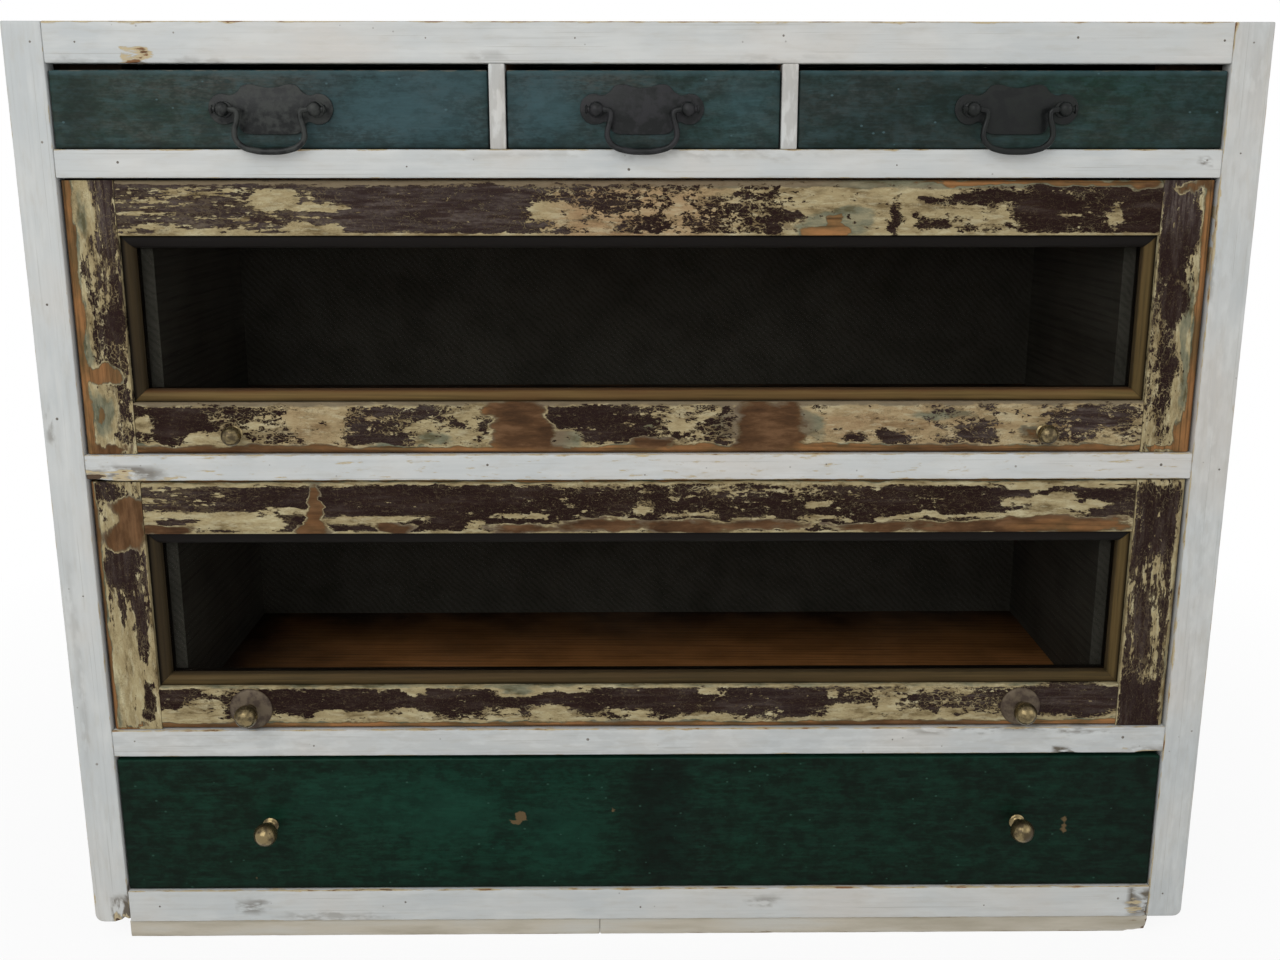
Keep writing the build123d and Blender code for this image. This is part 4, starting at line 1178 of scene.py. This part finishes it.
def painted_board(name, node, axis, material, body, slot, recipe, radius=1.4, cells=(6, 8, 4), foot=0):
    """A worn board in the place of a CAD board; its recipe says where the paint has gone."""
    low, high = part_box(node)
    bm = bmesh.new()
    add_block(bm, low, high, radius, cells if axis == "X" else cells[::-1])
    rub_down(bm, 0.5, seed=len(node) + node.count("e"))
    dent(bm.verts, [(share_point(node, u, v), half, push) for u, v, half, push in KNOCKS.get(node, ())])
    if foot:
        worn_round = 9 * MM
        round_foot(bm.verts, Vector((high.x if foot > 0 else low.x, low.y, low.z)), foot, worn_round)
    piece = make_piece(name, bm, [material], body, slot, node)
    paint_wear(piece, low, high, axis, **recipe)


def build_face_frame(paint):
    """Stiles, rails and dividers with their worn edges."""
    materials = {axis: frame_paint(axis, paint) for axis in "XZ"}
    feet = {"left_stile": -1, "right_stile": 1}
    for node, recipe in FRAME_WEAR.items():
        foot = feet.get(node, 0)
        axis, cells = ("Z", (3, 8, 4)) if foot else ("X", (6, 8, 4))
        recipe = dict(recipe, front_only=True)
        painted_board(
            f"{node}_board", node, axis, materials[axis], "carcass", "frame_paint", recipe, cells=cells, foot=foot
        )
    low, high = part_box("dividers")
    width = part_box("left_drawer_front")[1].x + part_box("middle_drawer_front")[0].x - 2 * low.x
    bm = bmesh.new()
    for x in (low.x, high.x - width):
        add_block(bm, (x, low.y, low.z), (x + width, high.y, high.z), 1.2, (4, 8, 6))
    rub_down(bm, 0.5, seed=5)
    piece = make_piece("divider_boards", bm, [materials["Z"]], "carcass", "frame_paint", "dividers")
    paint_wear(piece, low, high, "Z", base={CHIP: 30, DIRT_AND_SHADE: 25})


def build_nails():
    """Small set nail heads, each a shallow dome in a dimple of paint."""
    rng = random.Random(7)
    radius = bpy.context.scene.chest_hardware.nail_head
    height, sunk = 0.55 * MM, Vector((0, 0.3 * MM, 0))
    dome = [(0, 0.5), (0.5, 0.45), (0.85, 0.3), (1.0, 0.05), (1.0, -0.9), (0, -0.9)]
    bm = bmesh.new()
    for board, shares in NAILS.items():
        for u, v in shares:
            scale = rng.uniform(0.75, 1.2)
            points = [(r * radius * scale, h * height) for r, h in dome]
            turned(bm, share_point(board, u, v) + sunk, points, steps=12)
    steel = old_metal("nail_steel", seen(146, 144, 138), seen(104, 98, 90), 0.3, 0.45, 0.7, 0.0001)
    make_piece("frame_nails", bm, [steel], "carcass", "frame_paint")


def build_panel(name, node, axis, material, radius, cells, rub, seed, base):
    """A side or the top: two boards edge to edge in the place of a CAD board."""
    low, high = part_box(node)
    depth = (high.y - low.y) / 2
    bm = bmesh.new()
    for start in (low.y, low.y + depth):
        add_block(bm, (low.x, start, low.z), (high.x, start + depth, high.z), radius, cells)
    rub_down(bm, rub, seed)
    piece = make_piece(name, bm, [material], "carcass", "frame_paint", node)
    paint_wear(piece, low, high, axis, base=base)


def build_case(paint):
    """Side panels, top, back, shelves, posts, guides and partitions."""
    side_paint = frame_paint("Z", paint)
    for side in ("left", "right"):
        build_panel(
            f"{side}_side_boards", f"{side}_side_panel", "Z", side_paint, 1.2, (8, 9, 12), 0.5, 3, {DIRT_AND_SHADE: 3}
        )
    top_paint = frame_paint("X", paint)
    build_panel("top_boards", "top_board", "X", top_paint, 1.5, (12, 9, 8), 0.6, 9, {CHIP: 5, DIRT_AND_SHADE: 8})

    pine = paint.case_pine
    along = plain_pine("case_pine_x", "X", dim(pine, 0.3), pine)
    inward = plain_pine("case_pine_y", "Y", dim(pine, 0.3), pine)
    # The corner posts are nearly black: painted shade in the gap above the top drawers, where they show.
    shaded_upright = plain_pine("case_pine_shaded_z", "Z", dim(pine, 0.04), dim(pine, 0.1))
    for node in ("top_drawer_shelf", "upper_shelf", "lower_shelf", "bottom_shelf"):
        dress(node, along)
    for node in ("drawer_partitions", "drawer_guides"):
        dress(node, inward)
    dress("corner_posts", shaded_upright)

    low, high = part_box("back_boards")
    count = 6
    pitch = (high.x - low.x) / count
    tongue_share = 0.35
    tongue = low.y + tongue_share * (high.y - low.y)
    bm = bmesh.new()
    add_block(bm, low, (high.x, tongue, high.z), 0.3, (60, 6, 60))
    for i in range(count):
        start = low.x + i * pitch
        add_block(bm, (start, tongue, low.z), (start + pitch, high.y, high.z), 2.2, (10, 6, 20))
    rub_down(bm, 0.5, seed=2)
    planks = plain_pine("back_pine", "Z", dim(pine, 0.4), dim(pine, 0.85), 0.7, planks=(low.x, pitch))
    make_piece("back_planks", bm, [planks], "carcass", "back_pine", "back_boards")


def build_plinth(paint):
    """Four battens, the front one pieced from two lengths that meet in a tight joint."""
    low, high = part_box("plinth")
    batten = 34 * MM
    joint = -45 * MM
    front, back = low.y + batten, high.y - batten
    plans = [
        (low.x, low.y, joint, front),
        (joint, low.y, high.x, front),
        (low.x, front, low.x + batten, back),
        (high.x - batten, front, high.x, back),
        (low.x, back, high.x, high.y),
    ]
    bm = bmesh.new()
    for x, y, far_x, far_y in plans:
        add_block(bm, (x, y, low.z), (far_x, far_y, high.z), 1.6, (6, 8, 4))
    rub_down(bm, 0.6, seed=4)
    dent(bm.verts, [(Vector((high.x, low.y, low.z)), (26, 12, 12), (-2, 3, 2))])
    piece = make_piece("plinth_battens", bm, [plinth_paint(paint)], "carcass", "plinth_paint", "plinth")
    edges = [(CHIP, "high", 1.2, 80, 80), (CHIP, "low", 1.6, 90, 90)]
    patches = {BARE: [(1124, 10, 4, 12, 100)], CHIP: [(1110, 8, 16, 9, 60)]}
    paint_wear(piece, low, high, "X", edges=edges, patches=patches)


def build_drawer_fronts(paint):
    """The three small green fronts and the deep one at the foot."""
    scuffed, spot = seen(78, 75, 70), seen(96, 98, 90)
    top = green_paint("top_green", paint.top_green, paint.top_teal, seen(22, 50, 38), scuffed, spot, 0.12)
    # A painted highlight along the top arris, painted shade along the bottom edge.
    edges = [(FLAKE, "high", 1.2, 70, 90), (BLOOM_AND_HIGHLIGHT, "high", 3, 70, 60), (SHADE, "low", 5, 60, 50)]
    for name in DRAWERS:
        recipe = dict(TOP_DRAWER_WEAR[name], edges=edges)
        node, body = f"{name}_drawer_front", f"{name}_drawer"
        painted_board(f"{name}_front_board", node, "X", top, body, "top_green", recipe, 1.8)
    scuffed, spot = seen(28, 30, 26), seen(96, 80, 56)
    bottom = green_paint(
        "bottom_green", paint.bottom_green, paint.bottom_teal, seen(14, 42, 26), scuffed, spot, 0.06
    )
    # A painted highlight along the top arris, painted shade along the bottom edge.
    recipe = dict(BOTTOM_DRAWER_WEAR, edges=[(BLOOM_AND_HIGHLIGHT, "high", 1.6, 50, 50), (SHADE, "low", 5, 80, 40)])
    node, body = "bottom_drawer_front", "bottom_drawer"
    painted_board("bottom_front_board", node, "X", bottom, body, "bottom_green", recipe, 2)


def build_boxes(paint):
    """Drawer boxes and their bottoms."""
    sides = plain_pine("box_pine", "Y", dim(paint.box_brown, 0.5), paint.box_brown, knotty=False)
    floor = plain_pine("box_floor", "X", seen(154, 102, 62), seen(228, 156, 96), 0.5, knotty=False, deep=True)
    for drawer in (*(f"{name}_drawer" for name in (*DRAWERS, "bottom")), *(f"{name}_glazed" for name in SASHES)):
        dress(f"{drawer}_box", sides)
        dress(f"{drawer}_bottom", floor)


# Half of the winged backplate's edge, from the top middle round to the bottom middle, in millimetres.
BACKPLATE = [
    (0, 19.5), (9, 20.5), (17, 22.5), (25, 21.5), (31, 15.5), (38, 12.5), (46, 14), (54, 11), (58.5, 3),
    (57, -6), (50, -12.5), (42, -13), (35, -11), (31, -14.5), (27, -20.5), (15, -22.5), (0, -22.5),
]

# Half of a bail, from its end to its middle: shares of its half width and of its drop, and how thin the wire is.
BAIL_LEG = [
    (1, 0, 1), (0.8, 0, 1), (0.64, -0.01, 1), (0.565, -0.045, 1), (0.548, -0.14, 1), (0.57, -0.3, 1),
    (0.605, -0.5, 1), (0.6, -0.68, 1), (0.5, -0.86, 0.8), (0.3, -0.965, 0.3), (0, -1, 0),
]


def build_handle(name, iron, wire, belly):
    """Winged plate, ball-headed posts and a swan-neck bail."""
    plate_low, plate_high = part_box(f"{name}_handle_plate")
    posts_low, posts_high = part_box(f"{name}_handle_posts")
    bail_low, bail_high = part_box(f"{name}_handle_bail")
    centre_x = (plate_low.x + plate_high.x) / 2
    hinge = next(j for j in frame["joints"] if j["name"] == f"{name}_bail_hinge")
    pivot = Vector(hinge["pos_m"])
    ball = pivot.y - posts_low.y
    nut_reach = 5.5 * MM
    spread = (posts_high.x - posts_low.x) / 2 - max(ball, nut_reach)
    board_y = plate_high.y
    drawer = f"{name}_drawer"

    points = [(x * MM, z * MM, 0, 1) for x, z in BACKPLATE]
    points += [(-x, z, 0, 1) for x, z, _, _ in reversed(points[1:-1])]
    half_flat, rounded = 0.35 * MM, 0.55 * MM
    half_plate = half_flat + rounded
    sheet = {"dimensions": "2D", "fill_mode": "BOTH", "extrude": half_flat, "bevel_depth": rounded}
    bm = curve_mesh(f"{name}_backplate", points, 5, closed=True, bevel_resolution=2, **sheet)
    bm.transform(Matrix.Rotation(math.radians(90), 4, "X"))
    bm.transform(Matrix.Translation((centre_x, board_y - half_plate, pivot.z)))
    make_piece(f"{name}_backplate", bm, [iron], drawer, "handle_iron", f"{name}_handle_plate")

    bm = bmesh.new()
    plate_y = board_y - 2 * half_plate
    neck_end = plate_y - pivot.y - 4.6 * MM  # inside the ball
    points = [(0, -1.2 * MM), (7.6 * MM, -1.2 * MM), *arc(6.6 * MM, 0.6 * MM, 1.0 * MM, 0, 90, 4)]
    points += [(5.2 * MM, 1.9 * MM), (4.2 * MM, 3.0 * MM), (4.0 * MM, neck_end), (0, neck_end)]
    for side in (-1, 1):
        x = centre_x + side * spread
        turned(bm, Vector((x, plate_y, pivot.z)), points, steps=28)
        drilled_ball(bm, Vector((x, pivot.y, pivot.z)), ball, wire + 0.1 * MM)
    make_piece(f"{name}_bail_posts", bm, [iron], drawer, "handle_iron", f"{name}_handle_posts")

    half = (bail_high.x - bail_low.x) / 2
    drop = pivot.z - bail_low.z - belly
    route = [(x * half, z * drop, wire * thin + belly * (1 - thin)) for x, z, thin in BAIL_LEG]
    route += [(-x, z, radius) for x, z, radius in reversed(route[:-1])]
    points = [(centre_x + x, pivot.y, pivot.z + z, radius) for x, z, radius in route]
    wire_shape = {"dimensions": "3D", "bevel_depth": 1.0, "bevel_resolution": 5, "use_fill_caps": True}
    bm = curve_mesh(f"{name}_bail", points, 8, **wire_shape)
    button, thickness = 4.2 * MM, 1.5 * MM
    for side in (-1, 1):
        end = Vector((centre_x + side * (half - thickness), pivot.y, pivot.z))
        made = bmesh.ops.create_uvsphere(bm, u_segments=20, v_segments=12, radius=button)["verts"]
        bmesh.ops.scale(bm, vec=(0.36, 1, 1), verts=made)
        bmesh.ops.translate(bm, vec=end, verts=made)
    make_piece(f"{name}_bail", bm, [iron], f"{name}_bail", "handle_iron", f"{name}_handle_bail")


def build_handles(hardware):
    """The three bail handles."""
    # The skins step from lighter on the left handle to darker on the right: painted light falling from the left.
    skins_lit_from_left = {"left": seen(50, 52, 50), "middle": seen(38, 38, 40), "right": seen(24, 27, 25)}
    for name, skin in skins_lit_from_left.items():
        iron = old_metal(f"{name}_iron", hardware.iron, skin, 0.3, 0.3, 0.55, 0.00025, gloss=0.28)
        build_handle(name, iron, hardware.bail_wire, hardware.bail_belly)


def knob_profile(ball, neck, length, rose, dome):
    """A knob's edge from its foot to the end of its ball."""
    centre = length - ball
    start = math.degrees(math.asin(min(1, neck / ball)))
    foot = [(0, -1.0 * MM), (rose, -1.0 * MM), (rose, 0.8 * MM)]
    if dome:
        steps = ((0.97, 1.6), (0.86, 2.7), (0.66, 3.9), (0.45, 4.9))
        foot += [(rose * share, height * MM) for share, height in steps]
        foot.append((neck * 1.5, 5.6 * MM))
    else:
        foot += [(rose * 0.92, 1.5 * MM), (rose * 0.8, 1.9 * MM), (neck * 1.15, 2.5 * MM)]
    top = foot[-1][1]
    low_ball = centre - ball * math.cos(math.radians(start))
    rise = low_ball - top
    foot += [(neck, top + 0.12 * rise), (neck * 0.94, top + 0.5 * rise), (neck, low_ball - 0.8 * MM)]
    foot += [(neck * 1.25, low_ball - 0.5 * MM), (neck * 1.25, low_ball + 0.2 * MM)]
    curve = arc(0, centre, ball, start - 90 + 6, 90, 16)
    return foot + [(max(r, 0.0), h) for r, h in curve[:-1]] + [(0, length)]


def build_knobs(hardware):
    """Brass ball knobs, two to a drawer; the lower sash has them on large roses."""
    brass = old_metal("knob_brass", hardware.brass, seen(74, 64, 46), 0.85, 0.16, 0.36, 0.0001, gloss=0.5)
    patina = old_metal("rose_patina", seen(92, 80, 64), seen(70, 58, 48), 0.3, 0.5, 0.7, 0.0003)
    kinds = {
        "bottom_drawer_knobs": ("bottom_drawer", 12.5, 4.5, (8.5, 8.5), False),
        "upper_sash_knobs": ("upper_glazed_drawer", 10, 4, (8, 8), False),
        "lower_sash_knobs": ("lower_glazed_drawer", 12, 5, (22.5, 21), True),
    }
    screw = 15 * MM  # how far the CAD's screws reach into the wood
    for node, (body, ball, neck, roses, dome) in kinds.items():
        low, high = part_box(node)
        wood_y = high.y - screw
        middle_z = (low.z + high.z) / 2
        left, right = (max(rose, ball) * MM for rose in roses)
        bm = bmesh.new()
        for x, rose in ((low.x + left, roses[0]), (high.x - right, roses[1])):
            points = knob_profile(ball * MM, neck * MM, wood_y - low.y, rose * MM, dome)
            turned(bm, Vector((x, wood_y, middle_z)), points, steps=48)
        piece = make_piece(node.replace("knobs", "ball_knobs"), bm, [brass, patina], body, "knob_brass", node)
        if dome:
            rose_front = wood_y - 5.5 * MM
            for polygon in piece.data.polygons:
                if polygon.center.y > rose_front:
                    polygon.material_index = 1


def build_sashes(paint):
    """Rails, stiles, beads and panes of the two glazed drawers."""
    paints = {axis: sash_paint(axis, paint) for axis in "XZ"}
    stains = {axis: bead_stain(axis, paint) for axis in "XZ"}
    glass = pane_glass()
    ends = [(0, ("low", "high"), 5), (0, ("low", "low"), 5)]
    # For each part: its grain, the axis and the side that its lip is on, and its wide edges.
    parts = {
        "top_rail": ("X", 2, "low", ends[:1]),
        "bottom_rail": ("X", 2, "high", ends[1:]),
        "left_stile": ("Z", 0, "high", [(2, ("low", "low"), 8), *ends]),
        "right_stile": ("Z", 0, "low", [(2, ("high", "low"), 8), *ends]),
    }
    for name in SASHES:
        body = f"{name}_glazed_drawer"
        bottom_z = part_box(f"{name}_sash_bottom_rail")[1].z
        top_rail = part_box(f"{name}_sash_top_rail")[0]
        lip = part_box(f"{name}_sash_left_stile")[1].x - top_rail.x
        for part, (grain, axis, side, wide) in parts.items():
            node = f"{name}_sash_{part}"
            low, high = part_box(node)
            lip_low, lip_high = low.copy(), high.copy()
            if side == "low":
                lip_high[axis] = low[axis] + lip
                low[axis] += lip
            else:
                lip_low[axis] = high[axis] - lip
                high[axis] -= lip
            lip_low.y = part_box(f"{name}_glass")[1].y
            if grain == "Z":
                lip_low.z, lip_high.z = bottom_z, top_rail.z
            bm = bmesh.new()
            add_block(bm, low, high, 1.0, (4, 8, 2.6) if grain == "X" else (2.6, 8, 4), wide=wide)
            rub_down(bm, 0.6, seed=len(node))
            add_block(bm, lip_low, lip_high, 0.5, (20, 8, 20), 2)
            piece = make_piece(f"{node}_board", bm, [paints[grain]], body, "sash_paint", node)
            paint_wear(piece, low, high, grain, **SASH_WEAR[node])
        build_beads(name, body, stains)
        dress(f"{name}_glass", glass)


def build_beads(name, body, stains):
    """Four mitred beads: a quarter round with a small quirk against the sash."""
    low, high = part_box(f"{name}_glazing_beads")
    width = 12 * MM
    for axis, sign, place in ((0, -1, "head"), (0, 1, "sill"), (2, 1, "left"), (2, -1, "right")):
        bm = bmesh.new()
        across = 2 - axis
        outer = low[across] if sign > 0 else high[across]
        inner = outer + sign * width
        block_low, block_high = low.copy(), high.copy()
        block_low[across], block_high[across] = min(inner, outer), max(inner, outer)
        add_cuboid(bm, block_low, block_high)
        for side, radius, segments in ((inner, 7.5, 8), (outer, 1.0, 2)):
            goal = {1: low.y, across: side}
            edges = [e for e in bm.edges if all(abs(v.co[i] - at) < SAME for v in e.verts for i, at in goal.items())]
            bevel(bm, edges, radius * MM, segments)
        for end in (-1, 1):
            corner = (low if end < 0 else high).copy()
            corner[across] = outer
            outward = Vector((0, 0, 0))
            outward[axis], outward[across] = end, sign
            geometry = bm.verts[:] + bm.edges[:] + bm.faces[:]
            cut = bmesh.ops.bisect_plane(bm, geom=geometry, plane_co=corner, plane_no=outward, clear_outer=True)
            rim = [e for e in cut["geom_cut"] if isinstance(e, bmesh.types.BMEdge)]
            bmesh.ops.contextual_create(bm, geom=rim)
        runs = [e for e in bm.edges if abs(e.verts[0].co[axis] - e.verts[1].co[axis]) > 0.09]
        bmesh.ops.subdivide_edges(bm, edges=runs, cuts=60 if axis == 0 else 12, use_grid_fill=True)
        rub_down(bm, 0.3, seed=axis + sign)
        nodes = [f"{name}_glazing_beads"] if place == "head" else []
        grain = "XYZ"[axis]
        piece = make_piece(f"{name}_{place}_bead", bm, [stains[grain]], body, "bead_wood", *nodes)
        recipe = f"{name}_sill" if place == "sill" else place
        paint_wear(piece, block_low, block_high, grain, **BEAD_WEAR[recipe])


# ---------------------------------------- operators


class CHEST_OT_stage(bpy.types.Operator):
    """Set up the floor, the lamps and the camera"""

    bl_idname = "chest.stage"
    bl_label = "Studio"

    def execute(self, context):
        studio = context.scene.chest_studio
        bm = bmesh.new()
        bmesh.ops.create_circle(bm, cap_ends=True, segments=96, radius=40)
        bmesh.ops.inset_region(bm, faces=bm.faces[:], thickness=30, use_even_offset=True)
        mesh = bpy.data.meshes.new("studio_floor")
        bm.to_mesh(mesh)
        bm.free()
        mesh.materials.append(backdrop_white())
        add_object("studio_floor", mesh)

        camera = bpy.data.cameras.new("camera")
        camera.lens = studio.lens
        camera.sensor_width = 36
        camera.clip_start = 0.01
        camera.clip_end = 200
        view = add_object("camera", camera)
        view.location = (studio.side, FACE_Y - studio.distance, TOP_Z - studio.drop)
        view.rotation_euler = (math.pi / 2 - studio.pitch, 0, -studio.turn)
        context.scene.camera = view

        self.add_lamp("key_lamp", (-1.25, -2.6, 2.2), 2.6, studio.key_power)
        self.add_lamp("fill_lamp", (2.6, -2.0, 1.6), 2.0, studio.fill_power)
        self.add_sky(context, studio.sky)
        context.scene.view_settings.view_transform = "Standard"
        return {"FINISHED"}

    def add_lamp(self, name, place, size, power):
        """A large soft lamp aimed at the middle of the chest."""
        lamp = bpy.data.lights.new(name, "AREA")
        lamp.size = size
        lamp.energy = power
        holder = add_object(name, lamp)
        holder.location = place
        holder.rotation_euler = (MIDDLE - Vector(place)).to_track_quat("-Z", "Y").to_euler()

    def add_sky(self, context, strength):
        """White to look at, softer as a light."""
        world = bpy.data.worlds.new("studio_sky")
        world.use_nodes = True
        n = Nodes(world.node_tree)
        light = n.node("ShaderNodeBackground", {"Color": (1, 1, 1), "Strength": strength})
        white = n.node("ShaderNodeBackground", {"Color": (1, 1, 1)})
        n.node("ShaderNodeOutputWorld", {"Surface": n.layered(n.looked_at(), light, white).outputs[0]})
        context.scene.world = world


class CHEST_OT_face_frame(bpy.types.Operator):
    """Build the painted stiles, rails and dividers, and the nails in them"""

    bl_idname = "chest.face_frame"
    bl_label = "Face frame"

    def execute(self, context):
        build_face_frame(context.scene.chest_paint)
        build_nails()
        return {"FINISHED"}


class CHEST_OT_case(bpy.types.Operator):
    """Build the case behind the face frame"""

    bl_idname = "chest.case"
    bl_label = "Case"

    def execute(self, context):
        build_case(context.scene.chest_paint)
        return {"FINISHED"}


class CHEST_OT_plinth(bpy.types.Operator):
    """Build the plinth's battens"""

    bl_idname = "chest.plinth"
    bl_label = "Plinth"

    def execute(self, context):
        build_plinth(context.scene.chest_paint)
        return {"FINISHED"}


class CHEST_OT_fronts(bpy.types.Operator):
    """Build the four green drawer fronts"""

    bl_idname = "chest.fronts"
    bl_label = "Drawer fronts"

    def execute(self, context):
        build_drawer_fronts(context.scene.chest_paint)
        return {"FINISHED"}


class CHEST_OT_boxes(bpy.types.Operator):
    """Dress the drawer boxes and their bottoms"""

    bl_idname = "chest.boxes"
    bl_label = "Drawer boxes"

    def execute(self, context):
        build_boxes(context.scene.chest_paint)
        return {"FINISHED"}


class CHEST_OT_sashes(bpy.types.Operator):
    """Build the two glazed fronts with their beads and panes"""

    bl_idname = "chest.sashes"
    bl_label = "Glazed fronts"

    def execute(self, context):
        build_sashes(context.scene.chest_paint)
        return {"FINISHED"}


class CHEST_OT_handles(bpy.types.Operator):
    """Build the three bail handles"""

    bl_idname = "chest.handles"
    bl_label = "Bail handles"

    def execute(self, context):
        build_handles(context.scene.chest_hardware)
        return {"FINISHED"}


class CHEST_OT_knobs(bpy.types.Operator):
    """Build the ball knobs"""

    bl_idname = "chest.knobs"
    bl_label = "Knobs"

    def execute(self, context):
        build_knobs(context.scene.chest_hardware)
        return {"FINISHED"}


class CHEST_PT_panel(bpy.types.Panel):
    """Lists the pieces of the chest and their settings"""

    bl_idname = "CHEST_PT_panel"
    bl_label = "Painted Chest"
    bl_space_type = "VIEW_3D"
    bl_region_type = "UI"
    bl_category = "Chest"

    def draw(self, context):
        for operator in OPERATORS:
            self.layout.operator(operator.bl_idname)
        for group in SETTINGS:
            settings = getattr(context.scene, group)
            box = self.layout.box()
            for name in settings.__annotations__:
                box.prop(settings, name)


OPERATORS = (
    CHEST_OT_stage,
    CHEST_OT_face_frame,
    CHEST_OT_case,
    CHEST_OT_plinth,
    CHEST_OT_fronts,
    CHEST_OT_boxes,
    CHEST_OT_sashes,
    CHEST_OT_handles,
    CHEST_OT_knobs,
)
SETTINGS = {"chest_paint": ChestPaint, "chest_hardware": ChestHardware, "chest_studio": ChestStudio}
CLASSES = (*SETTINGS.values(), *OPERATORS, CHEST_PT_panel)


def register():
    for cls in CLASSES:
        bpy.utils.register_class(cls)
    for name, group in SETTINGS.items():
        setattr(bpy.types.Scene, name, PointerProperty(type=group))


def unregister():
    for name in SETTINGS:
        delattr(bpy.types.Scene, name)
    for cls in reversed(CLASSES):
        bpy.utils.unregister_class(cls)


def main():
    """Build the whole chest."""
    register()
    bpy.ops.chest.stage()
    bpy.ops.chest.face_frame()
    bpy.ops.chest.case()
    bpy.ops.chest.plinth()
    bpy.ops.chest.fronts()
    bpy.ops.chest.boxes()
    bpy.ops.chest.sashes()
    bpy.ops.chest.handles()
    bpy.ops.chest.knobs()
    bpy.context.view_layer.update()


if __name__ == "__main__":
    main()
